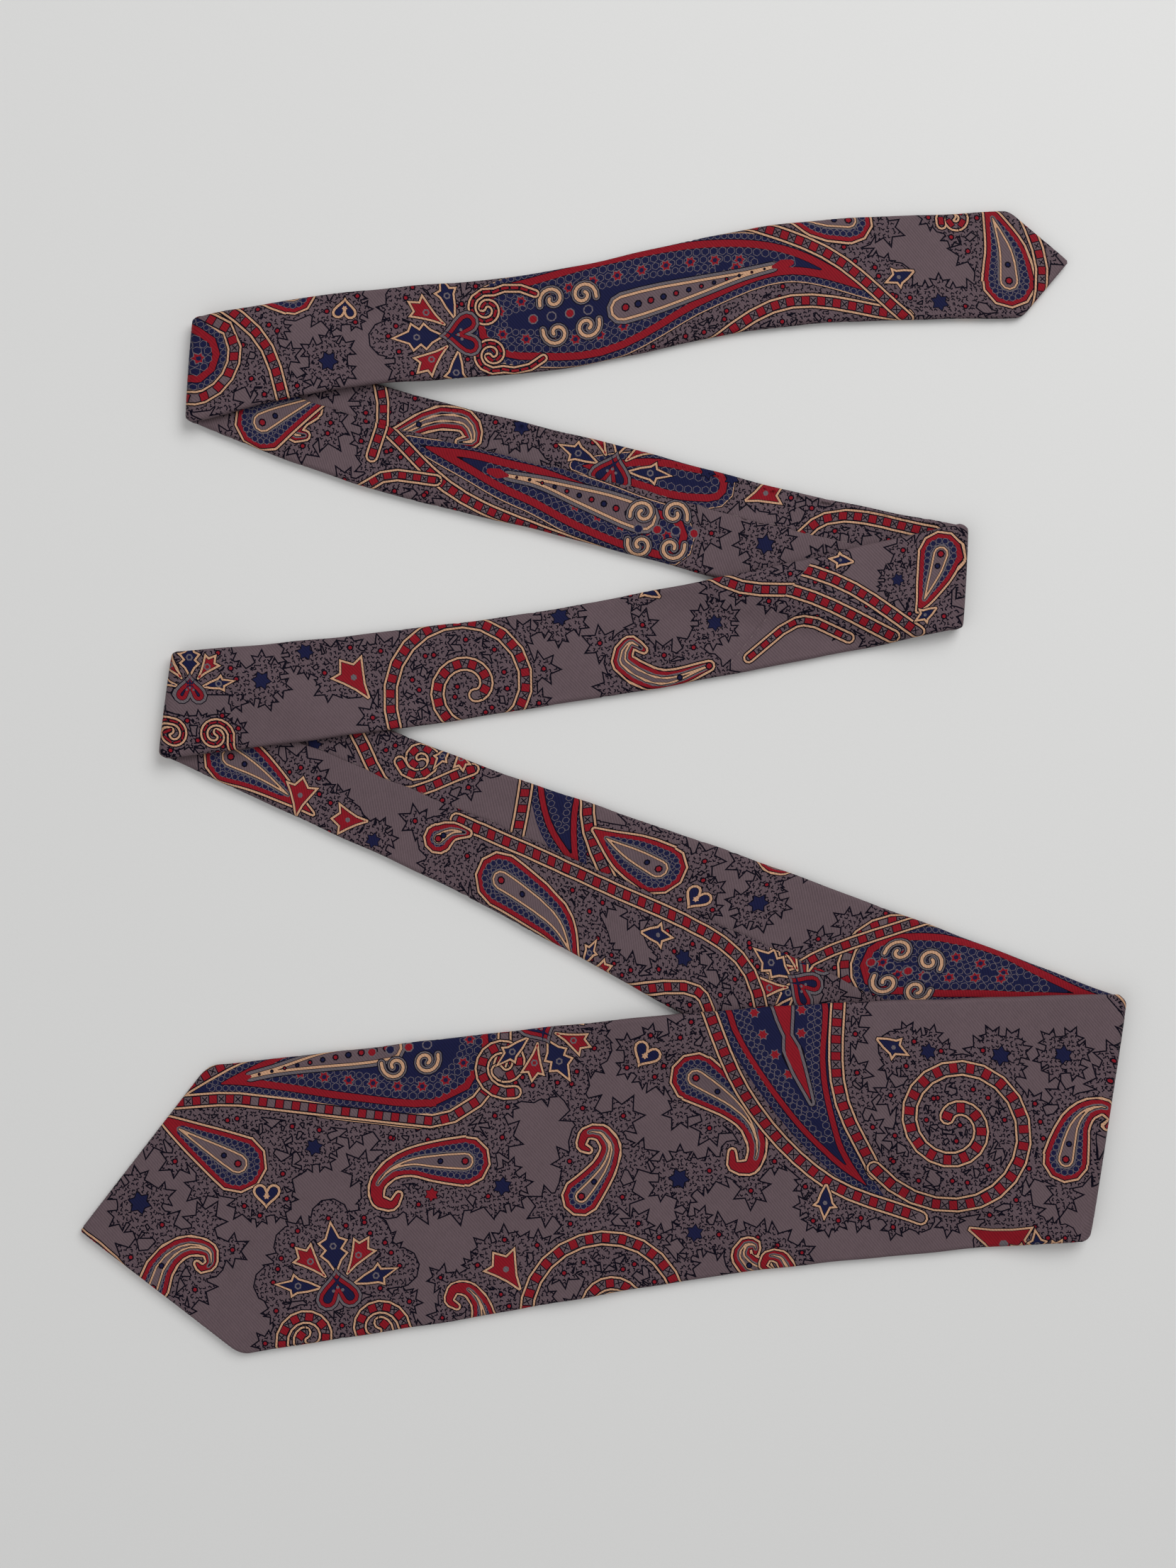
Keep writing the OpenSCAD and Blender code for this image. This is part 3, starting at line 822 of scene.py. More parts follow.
def grow(z, by):
    """A simple outline, anticlockwise, moved outwards."""
    back, ahead = z - np.roll(z, 1), np.roll(z, -1) - z
    n1, n2 = -1j * back / np.abs(back), -1j * ahead / np.abs(ahead)
    n = n1 + n2
    n = n / np.maximum(np.abs(n), 1e-6)
    lean = np.maximum((n * np.conj(n1)).real, 0.42)
    return z + n * by / lean


def rim(z, radii, offset):
    """Points round a spine with radii, moved out by offset, from its tip round its bulb and back."""
    n, r = normals_along(z), radii + offset
    ok = r > 0.2
    if ok.sum() < 2:
        return z[:0]
    ahead = -1j * n[0]
    cap = z[0] - np.exp(1j * np.linspace(-1.4, 1.4, 9)) * ahead * r[0]
    outline = np.concatenate([(z + n * r)[ok][::-1], cap[:9 if ok[0] else 0], (z - n * r)[ok]])
    gap = np.abs(outline[:, None] - z[None, :]) - radii[None, :]
    return outline[gap.min(1) > offset - 0.35]


MAPLE = np.array([0 - .2j, .12 - .26j, .2 - .55j, .4 - .3j, .74 - .5j, .68 - .16j, 1.05 + .04j,
                  .68 + .2j, .72 + .5j, .4 + .32j, .16 + .6j, .12 + .28j, 0 + .2j])
TULIP = np.array([0 - .03j, .3 - .13j, .55 - .27j, .84 - .44j, .8 - .17j, 1.04 + .02j, .8 + .2j,
                  .82 + .44j, .55 + .27j, .3 + .14j, 0 + .03j])
LANCE = np.array([0 - .04j, .28 - .17j, .52 - .24j, .66 - .38j, .7 - .17j, 1.08 + 0j, .7 + .17j,
                  .66 + .38j, .52 + .24j, .28 + .17j, 0 + .04j])
CROWN = np.array([0 - .04j, .22 - .2j, .36 - .4j, .46 - .25j, .62 - .42j, .7 - .2j, 1.05 + 0j, .7 + .2j,
                  .62 + .42j, .46 + .25j, .36 + .4j, .22 + .2j, 0 + .04j])
STAR = np.exp(2j * np.pi * np.arange(12) / 12) * np.where(np.arange(12) % 2, 0.62, 1.0)
SQUARE = np.array([-.5 - .5j, .5 - .5j, .5 + .5j, -.5 + .5j])


def ring(radius, sides=10):
    return radius * np.exp(2j * np.pi * (np.arange(sides) + 0.5) / sides)


def heart(size):
    t = np.linspace(0, 2 * math.pi, 24, endpoint=False)
    x = 16 * np.sin(t) ** 3
    y = 13 * np.cos(t) - 5 * np.cos(2 * t) - 2 * np.cos(3 * t) - np.cos(4 * t)
    return ((x + 1j * (y + 2)) * size / 30)[::-1]


LOBE_SPREAD = 1.15                             # scales the halos' lobes and the steps between them


class Pen:
    """Draws at a place on the cloth, turned by an angle in degrees and scaled, on one panel or all."""

    def __init__(self, s, c, turn=0.0, size=1.0, mirror=False, panel=None):
        self.at = complex(s, c)
        self.turn = size * complex(math.cos(math.radians(turn)), math.sin(math.radians(turn)))
        self.size = size
        self.mirror = mirror
        self.panel = panel

    def fill(self, z, ink, level=BODY):
        z = np.asarray(z)
        z = self.at + self.turn * (np.conj(z) if self.mirror else z)
        cloth.paint(np.stack([z.real, z.imag], 1), ink, self.panel, level)

    def shape(self, z, inks, level=BODY):
        """A filled outline with lines inside it: inks are (inset, ink) pairs, outermost first."""
        for inset, ink in inks:
            self.fill(grow(z, -inset / self.size), ink, level)

    def strip(self, z, half, ink, level=BODY):
        """A line as wide as half to each side, with round ends, in runs that don't meet themselves."""
        half = np.broadcast_to(np.asarray(half, float), z.shape)
        keep = half > 0.04
        if keep.sum() < 2:
            return
        z, half = z[keep], half[keep]
        kept = thinned(z, half)
        n = (normals_along(z) * half)[kept]
        z, half = z[kept], half[kept]
        left, right = z + n, z - n
        quads = np.stack([right[:-1], right[1:], left[1:], left[:-1]], 1)
        sides = np.roll(quads, -1, 1) - quads
        good = ((np.conj(sides) * np.roll(sides, -1, 1)).imag > 1e-6).all(1)
        bends = np.abs(np.angle(np.diff(z)[1:] / np.diff(z)[:-1]))
        i = 0
        while i < len(quads):
            j = i + 1
            if good[i]:
                turned = 0.0
                while j < len(quads) and good[j] and turned + bends[j - 1] < 2.4:
                    turned += bends[j - 1]
                    j += 1
                self.fill(np.concatenate([right[i:j + 1], left[i:j + 1][::-1]]), ink, level)
            else:
                self.fill(quads[i][[0, 1, 2]], ink, level)
                self.fill(quads[i][[0, 2, 3]], ink, level)
                self.fill(quads[i][[0, 1, 3]], ink, level)
            i = j
        for k in (0, -1):
            self.fill(z[k] + ring(half[k], 10 if half[k] > 1 else 6), ink, level)

    def dot(self, z, radius, ink, level=BODY):
        self.fill(z + ring(radius + LINE / self.size, 7), "dark", level)
        self.fill(z + ring(radius, 6), ink, level)

    def lobe(self, z, direction, length, dotted=True):
        """One leafy lobe of a halo."""
        leaf = z + direction * length * MAPLE
        self.fill(grow(leaf, LINE / self.size), "dark", EDGE)
        self.fill(leaf, "halo", FILL)
        if dotted:
            self.dot(z + direction * length * 0.44, 0.62, "crimson", DOT)

    def halo(self, z, radii, out=2.0, pitch=10.0, length=8.6):
        """The leafy dotted ground that surrounds a motif."""
        self.strip(z, radii + out + LINE, "dark", EDGE)
        self.strip(z, radii + out, "halo", FILL)
        pitch, length = pitch * LOBE_SPREAD, length * LOBE_SPREAD
        outline = rim(z, radii, out - 1.2)
        if len(outline) < 3:
            return
        places, along = spaced(outline, pitch, pitch / 3)
        for k, (place, way) in enumerate(zip(places, along)):
            direction = -1j * way * np.exp(1j * dice.uniform(-0.5, 0.5))
            if np.abs(place + direction * 2 - z).min() < np.abs(place - z).min():
                direction = -direction
            self.lobe(place, direction, length * dice.uniform(0.8, 1.2), k % 3 != 2)

    def band(self, z, width=4.6, pitch=5.4, level=BODY):
        """A strip of red and grey blocks between two cream lines."""
        self.strip(z, width / 2 + 0.38, "dark", level)
        self.strip(z, width / 2, "cream", level)
        self.strip(z, width / 2 - 0.62, "dark", level)
        self.strip(z, width / 2 - 1.04, "ground", level)
        inner = width - 2.08
        for place, way in zip(*spaced(z, pitch, pitch / 4)):
            self.fill(place + way * (SQUARE.real * 3.0 + 1j * SQUARE.imag * (inner + 0.3)), "dark", level)
            self.fill(place + way * (SQUARE.real * 2.4 + 1j * SQUARE.imag * inner), "crimson", level)
            cross = place + way * (pitch / 2)
            if np.abs(z - cross).min() < 1.2:
                for tilt in (0.25, 0.75):
                    bar = way * np.exp(1j * math.pi * tilt)
                    self.fill(cross + bar * (SQUARE.real * inner * 0.95 + 1j * SQUARE.imag * 0.34),
                              "dark", level)

    def leafy_band(self, z, ground, width, pitch=5.4):
        """A band on a halo; ground is the halo's radius, reach, pitch and length of lobe."""
        radius, out, lobe_pitch, length = ground
        self.halo(z, np.full(len(z), radius), out, lobe_pitch, length)
        self.band(z, width, pitch)

    def layers(self, z, half, inks):
        """Strips one inside the next: inks are (inset, ink) pairs, outermost first."""
        for inset, ink in inks:
            self.strip(z, half - inset, ink)

    def scallops(self, outline, pitch, radius):
        """A row of small navy petals with grey edges."""
        for place, _ in zip(*spaced(outline, pitch, pitch / 2)):
            self.fill(place + ring(radius, 6), "grey")
            self.fill(place + ring(radius - 0.22, 6), "navy")

    def boteh(self, *knots):
        """A small paisley teardrop with a curled tip; knots run from the bulb to the tip."""
        z, r = smooth(*knots)
        self.halo(z, r)
        self.layers(z, r, ((-0.4, "dark"), (0, "cream"), (0.66, "dark"), (1.0, "crimson")))
        wide = r > 3.9
        self.strip(z[wide], r[wide] - 2.3, "navy")
        self.scallops(rim(z[wide], r[wide] - 3.3, 0), 2.05, 1.12)
        self.scallops(rim(z[wide], r[wide] - 5.2, 0), 1.9, 0.95)
        core = r > 0.36 * r.max()
        zc = z[core]
        rc = 0.36 * r.max() * np.clip((r[core] / r.max() - 0.3) / 0.7, 0.04, 1)
        rc[0] = rc[:3].mean()
        self.layers(zc, rc, ((-0.5, "grey"), (-0.05, "dark"), (0.2, "cream"), (0.75, "dark"),
                             (0.9, "ground")))
        for k, place in enumerate(zc[:: max(1, len(zc) // 4)]):
            if k < 2:
                self.dot(place, 0.62 if k else 0.9, "navy" if k else "crimson")

    def big_boteh(self, *knots, band=True, rows=3):
        """A large paisley: a band round it, then petals, a red band and rows of petals inwards."""
        z, r = smooth(*knots, step=2.2)
        self.halo(z, r, out=2.6, pitch=9.5, length=7.0)
        inset = 0.0
        self.strip(z, r + 0.3, "dark")
        self.strip(z, r, "cream")
        if band:
            self.strip(z, r - 0.78, "dark")
            self.strip(z, r - 1.02, "ground")
            self.band(rim(z, r, -2.3))
            inset = 4.6
        self.strip(z, r - inset - 0.3, "navy")
        self.scallops(rim(z, r, -inset - 1.3), 2.2, 1.1)
        self.strip(z, r - inset - 2.3, "dark")
        self.strip(z, r - inset - 2.55, "crimson")
        self.strip(z, r - inset - 4.9, "dark")
        self.strip(z, r - inset - 5.1, "navy")
        for row in range(rows):
            if (r > inset + 6.4 + 2.6 * row).sum() > 3:
                self.scallops(rim(z, r, -inset - 6.2 - 2.6 * row), 2.8 - 0.2 * row, 1.4 - 0.1 * row)
        flowers = rim(z, r, -inset - 9.2)
        if rows > 1 and len(flowers) > 4:
            for place, _ in zip(*spaced(flowers, 8.0, 3.0)):
                self.fill(place + STAR * 2.2, "grey")
                self.fill(place + STAR * 1.8, "crimson")
                self.fill(place + ring(0.8, 6), "navy")

    def big_teardrop(self, length):
        """The cream-edged drop inside a great paisley; it points back along the pen."""
        z, r = smooth((length, 0, 4.2), (length * 0.8, 0, 4.0), (length * 0.5, 0, 2.6),
                      (length * 0.2, -0.5, 1.0), (0, -1, 0.6))
        self.layers(z, r, ((-1.3, "dark"), (-1.0, "grey"), (-0.1, "dark"), (0.1, "cream"), (0.9, "dark"),
                           (1.1, "ground")))
        for k, place in enumerate(spaced(z, 4.2, 1.0)[0]):
            self.dot(place, 1.0 - 0.09 * k, ("crimson", "navy")[k % 2])
        self.strip(np.array([-6 - 1.4j, -3 - 1.2j, 0 - 1j]), np.array([1.0, 1.6, 0.5]), "crimson")

    def scrolls(self):
        """Cream scrolls that close the great paisley's drop, in two mirrored pairs."""
        for side in (1, -1):
            for at, start, turns, outer in ((4 + 5.5j, 200, -1.1, 4.6), (14 + 5.2j, -20, 1.2, 4.4)):
                z = spiral(0, outer, 1.0, start, turns)
                z = at + z if side > 0 else np.conj(at + z)
                for half, ink in ((1.5, "dark"), (1.2, "grey"), (0.75, "dark"), (0.5, "cream")):
                    self.strip(z, np.full(len(z), half), ink)
        for k, at in enumerate((-3, 3, 9, 15)):
            self.fill(at + ring(1.7, 8), "grey")
            self.fill(at + ring(1.3, 7), ("crimson", "navy")[k % 2])

    def curl_band(self):
        """A band curled up at the foot of a great paisley."""
        z = spiral(0, 9.5, 2.8, -75, -1.2)
        self.leafy_band(z, (2.0, 1.6, 8, 5.6), 4.6)

    def palmette(self, size=1.0):
        """A heart with a fan of petals above it; the middle petal points along the pen."""
        pen = self
        fan = [(0, CROWN, 17, "navy"), (38, TULIP, 14.5, "crimson"), (-38, TULIP, 14.5, "crimson"),
               (78, LANCE, 15, "navy"), (-78, LANCE, 15, "navy")]
        heads = [spoke(a, 4, length + 6) for a, _, length, _ in fan]
        for ends, (a, _, length, _) in zip(heads, fan):
            line = np.linspace(ends[0], ends[1], 12) * size
            wide = np.linspace(3.0, 6.2, 12) * size
            pen.strip(line, wide + LINE, "dark", EDGE)
            pen.strip(line, wide, "halo", FILL)
            for side in (-26, 0, 26):
                way = np.exp(1j * math.radians(a + side))
                pen.lobe((length + 3) * size * way, way * np.exp(0.3j * dice.uniform(-1, 1)),
                         7.2 * size, side == 0 or dice.random() < 0.5)
        for a, outline, length, ink in fan:
            way = np.exp(1j * math.radians(a))
            z = (5.5 + (outline.real + 0.74j * outline.imag) * length * 0.95) * way * size
            pen.shape(z, [(-0.3, "dark"), (0, "cream"), (0.62, "dark"), (0.82, ink)])
            middle = (5.5 + 0.5 * length) * way * size
            pen.fill(middle + way * ring(1.2, 6), "grey")
            pen.fill(middle + way * ring(0.65, 6), ink)
        z = heart(14 * size) * 1j
        pen.shape(z, [(-0.3, "dark"), (0, "grey"), (0.8, "dark"), (1.0, "crimson"), (2.1, "dark"),
                      (2.3, "navy")])
        for k in (-1, 0, 1):
            pen.fill(k * 1.5j * size + (0.6 - abs(k)) * size + ring(0.55 * size, 6), "grey")

    def twin_curls(self, size=1.0):
        """Two bands that sweep up from below a palmette and curl in under its heart."""
        for side in (-1, 1):
            z = spiral(0, 9.6 * size, 2.2 * size, 120, -1.25)
            feed, _ = smooth((-25, 5, 1), (-18, 8.6, 1), (-10, 9.6, 1),
                             (z[0].real / size, z[0].imag / size, 1))
            whole = np.concatenate([feed[:-1] * size, z]) + (-14.5 + 11.2j) * size
            whole = whole if side > 0 else np.conj(whole)
            self.leafy_band(whole, (2.0 * size, 1.8 * size, 8.0 * size, 5.8 * size), 4.4 * size,
                            pitch=4.8 * size)

    def leaf(self, size=19, navy=True):
        """A jagged leaf with a dotted ground and a navy heart."""
        outline = STAR * size * 0.36
        for k in range(6):
            way = np.exp(1j * (k + dice.uniform(-0.2, 0.2)) * math.pi / 3)
            self.lobe(way * size * 0.2, way, size * 0.34, False)
        self.fill(ring(size * 0.27 + LINE, 12), "dark", EDGE)
        self.fill(ring(size * 0.27, 12), "halo", FILL)
        self.fill(STAR * size * 0.2 * np.exp(0.3j), "dark")
        self.fill(STAR * size * 0.17 * np.exp(0.3j), "navy" if navy else "crimson")

    def flower(self, outline, length, ink):
        """One petal on its own, with a leafy ground round its head."""
        self.fill(length * 0.62 + ring(length * 0.5 + LINE, 12), "dark", EDGE)
        self.fill(length * 0.62 + ring(length * 0.5, 12), "halo", FILL)
        for a in (-75, -35, 5, 45, 85):
            way = np.exp(1j * math.radians(a + dice.uniform(-8, 8)))
            self.lobe(length * 0.62 + way * length * 0.36, way, length * 0.5, a in (-35, 45))
        self.shape(outline * length, [(-0.3, "dark"), (0, "cream"), (0.62, "dark"), (0.82, ink)])
        self.fill(length * 0.55 + ring(0.07 * length, 6), "grey")

    def small_heart(self, size=9):
        """A small navy heart with a cream edge, on a leafy ground."""
        self.fill(ring(size * 0.7 + LINE, 12), "dark", EDGE)
        self.fill(ring(size * 0.7, 12), "halo", FILL)
        for k in range(6):
            way = np.exp(1j * (k * math.pi / 3 + dice.uniform(-0.25, 0.25)))
            self.lobe(way * size * 0.5, way, size * 0.62, k % 2 == 0)
        self.shape(heart(size), [(-0.3, "dark"), (0, "cream"), (0.75, "dark"), (0.95, "navy")])
        self.fill(STAR * 0.13 * size, "cream")


def spoke(angle, start, end):
    """The two ends of a line that points at an angle from the middle."""
    way = np.exp(1j * math.radians(angle))
    return start * way, end * way


COMMA = [(0, 0, 6.6), (5, 3.6, 5.4), (10, 8.2, 4.2), (12.6, 13.5, 3.6), (10.4, 18.6, 3.0),
         (5.8, 19.4, 2.3), (3.6, 16.0, 1.9), (5.6, 14.0, 1.4)]
HOOKED = [(0, 0, 8.4), (-9, 1.6, 7.0), (-17, 2.8, 5.0), (-24, 1.6, 3.7), (-29, -2.4, 3.1),
          (-29.6, -7.6, 2.6), (-25.4, -9.8, 2.1), (-22.8, -7.0, 1.5)]
DROP = [(0, 0, 9.4), (-6, 4, 7.6), (-13, 9.4, 5.2), (-20, 15.5, 2.6), (-25, 20, 0.9)]


def leg_pen(leg, s, v, turn=0, **more):
    """A pen at a place across a leg that lies face up, measured from its straight axis."""
    f = (s - STARTS[leg]) / LENGTHS[leg]
    return Pen(s, v - float(bow(leg, f)), turn, **more)


def back_pen(leg, u, w, turn=0, **more):
    """A pen on the back of a leg that lies face down: u from its start, w left of its heading."""
    s = STARTS[leg] + u
    w = w - float(bow(leg, u / LENGTHS[leg]))
    a = float(half_width(s))
    r = float(edge_radius(a))
    round_back = 2 * (a - r) + math.pi * r
    return Pen(s, w - round_back if w > -4 else w + round_back, turn, **more)


def leg_line(leg, points, step=1.4):
    """A smooth line through places (s, v) on a leg that lies face up, as cloth points."""
    z, _ = smooth(*[(s, v, 1) for s, v in points], step=step)
    f = (z.real - STARTS[leg]) / LENGTHS[leg]
    return z - 1j * bow(leg, f)


def print_leg_1():
    plain = Pen(0, 0)
    leg_pen(0, 53, 16, 0).boteh((0, 0, 9.6), (-6, 4.6, 7.8), (-13, 10, 5.4), (-20, 15.6, 2.8),
                                (-24, 18.8, 1.0))
    leg_pen(0, 61, 4.5, -8).small_heart(8.5)
    leg_pen(0, 20, 7, 20).leaf(21)
    leg_pen(0, 21, -21, 0).boteh((0, 0, 5.6), (3, 6, 5.0), (8, 10.6, 4.2), (14, 12, 3.5), (19.5, 9.6, 2.9),
                                 (19.6, 5.4, 2.2), (16.6, 4.2, 1.8), (15.2, 6.0, 1.3))
    plain.band(leg_line(0, [(-6, 4), (10, -12), (22, -36)]), width=4.2)
    leg_pen(0, 80.5, -28, 90).twin_curls()
    leg_pen(0, 80.5, -28, 90).palmette()
    leg_pen(0, 117, 49).big_boteh((0, 0, 29), (-12, -1, 26.5), (-28, -3, 20), (-46, -4, 13.5),
                                  (-64, -5, 8), (-82, -8, 3.6))
    leg_pen(0, 60, 44.5, 3).big_teardrop(46)
    leg_pen(0, 103, 47, 0).scrolls()
    leg_pen(0, 142, 38, 0).curl_band()
    leg_pen(0, 126, 8.5, 2).boteh(*HOOKED)
    leg_pen(0, 78, 18.5, -70).leaf(16)
    leg_pen(0, 137, -1, 0).leaf(17)
    leg_pen(0, 114, -1, 0).leaf(13, navy=False)
    leg_pen(0, 194, -5, 30).leaf(19)
    leg_pen(0, 197, -23, 0).leaf(16)
    leg_pen(0, 139, -35, 118).flower(TULIP, 15, "crimson")
    leg_pen(0, 162, -7, 6).boteh(*COMMA)
    leg_pen(0, 155, 49, -68, mirror=False).palmette(0.92)
    leg_pen(0, 187.5, 36, -38).small_heart(9)
    leg_pen(0, 203, 27, -50).boteh((0, 0, 8.6), (7, 1.4, 7.4), (15, 2.4, 5.8), (23, 1.5, 4.2),
                                   (30, -2.6, 3.4), (32.6, -8.6, 2.9), (28.6, -12.2, 2.3),
                                   (25.2, -9.4, 1.6))
    arch = spiral(0, 26, 24, -8, 0.62)
    pen = leg_pen(0, 164, -46)
    pen.leafy_band(arch, (2.2, 2.0, 8.5, 6.2), 4.8)
    curl = spiral(0, 11, 3.0, -60, 1.35)
    pen = leg_pen(0, 166.5, -44)
    pen.leafy_band(curl, (2.2, 1.6, 8, 5.4), 4.6)
    leg_pen(0, 217, -38, 96).boteh((0, 0, 4.6), (3, 3.4, 4.2), (6.8, 5.0, 3.6), (9.6, 3.0, 2.8),
                                   (9.0, 0.2, 2.2), (6.6, 0.6, 1.5))
    inverted_boteh()
    big = spiral(0, 30, 3.4, -155, 1.8)
    pen = leg_pen(0, 284, 3)
    pen.leafy_band(big, (2.2, 2.0, 9, 6.4), 5.0)
    leg_pen(0, 262, 33, -32).flower(LANCE, 11, "navy")
    leg_pen(0, 241, -12, -100).flower(LANCE, 11, "navy")
    for s, v, turn, size in ((278, 27, -60, 15), (301, 23, -60, 18), (321, 21, 0, 17)):
        leg_pen(0, s, v, turn).leaf(size)
    leg_pen(0, 318, -12, 62).boteh((0, 0, 7.6), (6, 1, 6.6), (12, 1.4, 5.2), (17.6, -0.6, 3.8),
                                   (20.6, -5, 2.9), (18.2, -8.6, 2.2), (15.2, -7.4, 1.5))
    leg_pen(0, 285, -31, -28).flower(TULIP, 22, "crimson")
    leg_pen(0, 334, -28, 0).leaf(14)


def inverted_boteh():
    """The great paisley that comes down from the top edge, between two bands that close in below it."""
    pen = Pen(0, 0)
    left = leg_line(0, [(206, 62), (218, 20), (240, -10), (270, -26)])
    right = leg_line(0, [(254, 62), (248, 20), (257, -10)])
    pen.halo(left, np.full(len(left), 2.4), 2.0, 9, 6.2)
    pen.halo(right, np.full(len(right), 2.4), 2.0, 9, 6.2)
    middle = leg_line(0, [(230, 64), (234, 28), (244, 0), (258, -19)])
    wide = np.interp(np.linspace(0, 1, len(middle)), [0, 0.25, 0.5, 0.75, 1], [21, 18.5, 11.5, 6, 1.5])
    pen.layers(middle, wide, ((0, "navy"), (2.6, "dark"), (2.85, "crimson"), (4.6, "dark"), (4.8, "navy")))
    pen.scallops(rim(middle, wide, -1.4), 2.1, 1.05)
    for depth, radius in ((6.2, 1.3), (8.6, 1.25)):
        pen.scallops(rim(middle, wide, -depth), 2.4, radius)
    for place, _ in zip(*spaced(rim(middle, wide, -11.4), 7.5, 2)):
        pen.fill(place + STAR * 2.0, "grey")
        pen.fill(place + STAR * 1.6, "crimson")
    pen.band(left, width=4.9)
    pen.band(right, width=4.9)
    core = leg_line(0, [(233, 60), (234, 36), (239, 15)])
    shape = np.interp(np.linspace(0, 1, len(core)), [0, 0.35, 0.5, 0.62, 0.8, 1],
                      [5, 2.6, 1.0, 2.6, 1.6, 0.3])
    pen.layers(core, shape, ((-1.1, "dark"), (-0.8, "grey"), (0.1, "dark"), (0.35, "crimson")))


def fill_gaps(leg, flap, rows, pitch=34):
    """Covers a hidden side of a leg with the print's smaller motifs, in an even lattice."""
    kinds = [lambda p: p.boteh(*HOOKED), lambda p: p.leaf(18), lambda p: p.boteh(*COMMA),
             lambda p: p.small_heart(9), lambda p: p.palmette(0.8), lambda p: p.leaf(15),
             lambda p: p.flower(TULIP, 15, "crimson")]
    k = leg
    for row, w in enumerate(rows):
        for s in np.arange(STARTS[leg] + 16 + 15 * (row % 2), ENDS[leg] - 12, pitch):
            if flap is None:
                pen = Pen(s, w, 47 * k, size=0.85)
            else:
                a, r = float(half_width(s)), float(edge_radius(half_width(s)))
                if abs(w) > a - 2:
                    continue
                round_back = 2 * (a - r) + math.pi * r
                pen = Pen(s, w - round_back if flap == "outer" else w + round_back, 47 * k, size=0.85)
            kinds[k % len(kinds)](pen)
            k += 1


def print_leg_2():
    inner, outer = -1, 1
    back_pen(1, 80, -18).big_boteh((0, 0, 17.5), (-15, -4, 17.5), (-30, -6, 15.5), (-50, -7, 11),
                                   (-70, -9, 7))
    back_pen(1, 84, -16, 180).scrolls()
    back_pen(1, 78, 18, 8).big_boteh((0, 0, 19), (-14, 0, 17), (-30, 1, 11), (-44, 2, 5))
    for w in (-6, 1):
        back_pen(1, 104, w, -6).palmette(0.9)
    pen = Pen(0, 0)
    lines = [([(228, -3), (180, -3), (128, 0), (104, 26)], outer, 4.8),
             ([(166, 32), (136, 16), (122, 30)], outer, 4.4),
             ([(270, -16), (250, -3), (230, -20)], inner, 4.4),
             ([(112, 2), (100, -14), (74, -38)], inner, 4.4)]
    for points, side, width in lines:
        band = back_line(1, points, side)
        pen.leafy_band(band, (2.2, 1.6, 9, 6.4), width)
    middle = back_line(1, [(206, -40), (198, -18), (182, 0)], inner)
    wide = np.interp(np.linspace(0, 1, len(middle)), [0, 0.3, 0.6, 0.85, 1], [12, 9.5, 6.5, 3.5, 1])
    pen.layers(middle, wide, ((0, "navy"), (2.2, "dark"), (2.5, "crimson"), (4.2, "dark"), (4.5, "navy")))
    pen.scallops(rim(middle, wide, -1.3), 2.2, 1.05)
    pen.scallops(rim(middle, wide, -5.8), 2.6, 1.2)
    for points in ([(216, -36), (210, -14), (207, 0)], [(196, -38), (188, -18), (169, 0)]):
        pen.band(back_line(1, points, inner), width=4.6)
    back_pen(1, 162, -15).boteh((0, 0, 9), (11, -3, 7), (24, -7, 1.2))
    back_pen(1, 207, 9).boteh((0, 0, 9), (-20, 1, 7), (-34, 11, 1.6))
    back_pen(1, 147, -11, 160).small_heart(8.5)
    back_pen(1, 231, 5).boteh((0, 0, 5), (-3, -4, 3.4), (-8, -6, 1.6))
    back_pen(1, 159, 6, 205).flower(LANCE, 11, "navy")
    back_pen(1, 254, 9, 20).flower(TULIP, 12, "crimson")
    curl = spiral(0, 6.4, 1.8, 30, 1.3)
    pen = back_pen(1, 247, -16)
    pen.leafy_band(curl, (2.0, 1.6, 8, 5.4), 4.0, pitch=4.6)
    for u, w, turn, size in ((143, 8, 60, 16), (128, -18, 60, 18), (222, 22, 60, 16), (250, 14, 20, 14),
                             (280, -6, 20, 14)):
        back_pen(1, u, w, turn).leaf(size)
    back_pen(1, 303, 8, 30).boteh(*DROP)
    back_pen(1, 306, -9, 200).palmette(0.6)
    back_pen(1, 40, 8, 120).leaf(17)
    back_pen(1, 20, 22, 160).boteh(*COMMA)


def back_line(leg, points, side):
    """A smooth line through places (u, w) on the back of a leg that lies face down."""
    z, _ = smooth(*[(STARTS[leg] + u, w, 1) for u, w in points], step=1.4)
    a = half_width(z.real)
    r = edge_radius(a)
    return z - 1j * (bow(leg, (z.real - STARTS[leg]) / LENGTHS[leg]) + side * (2 * (a - r) + math.pi * r))


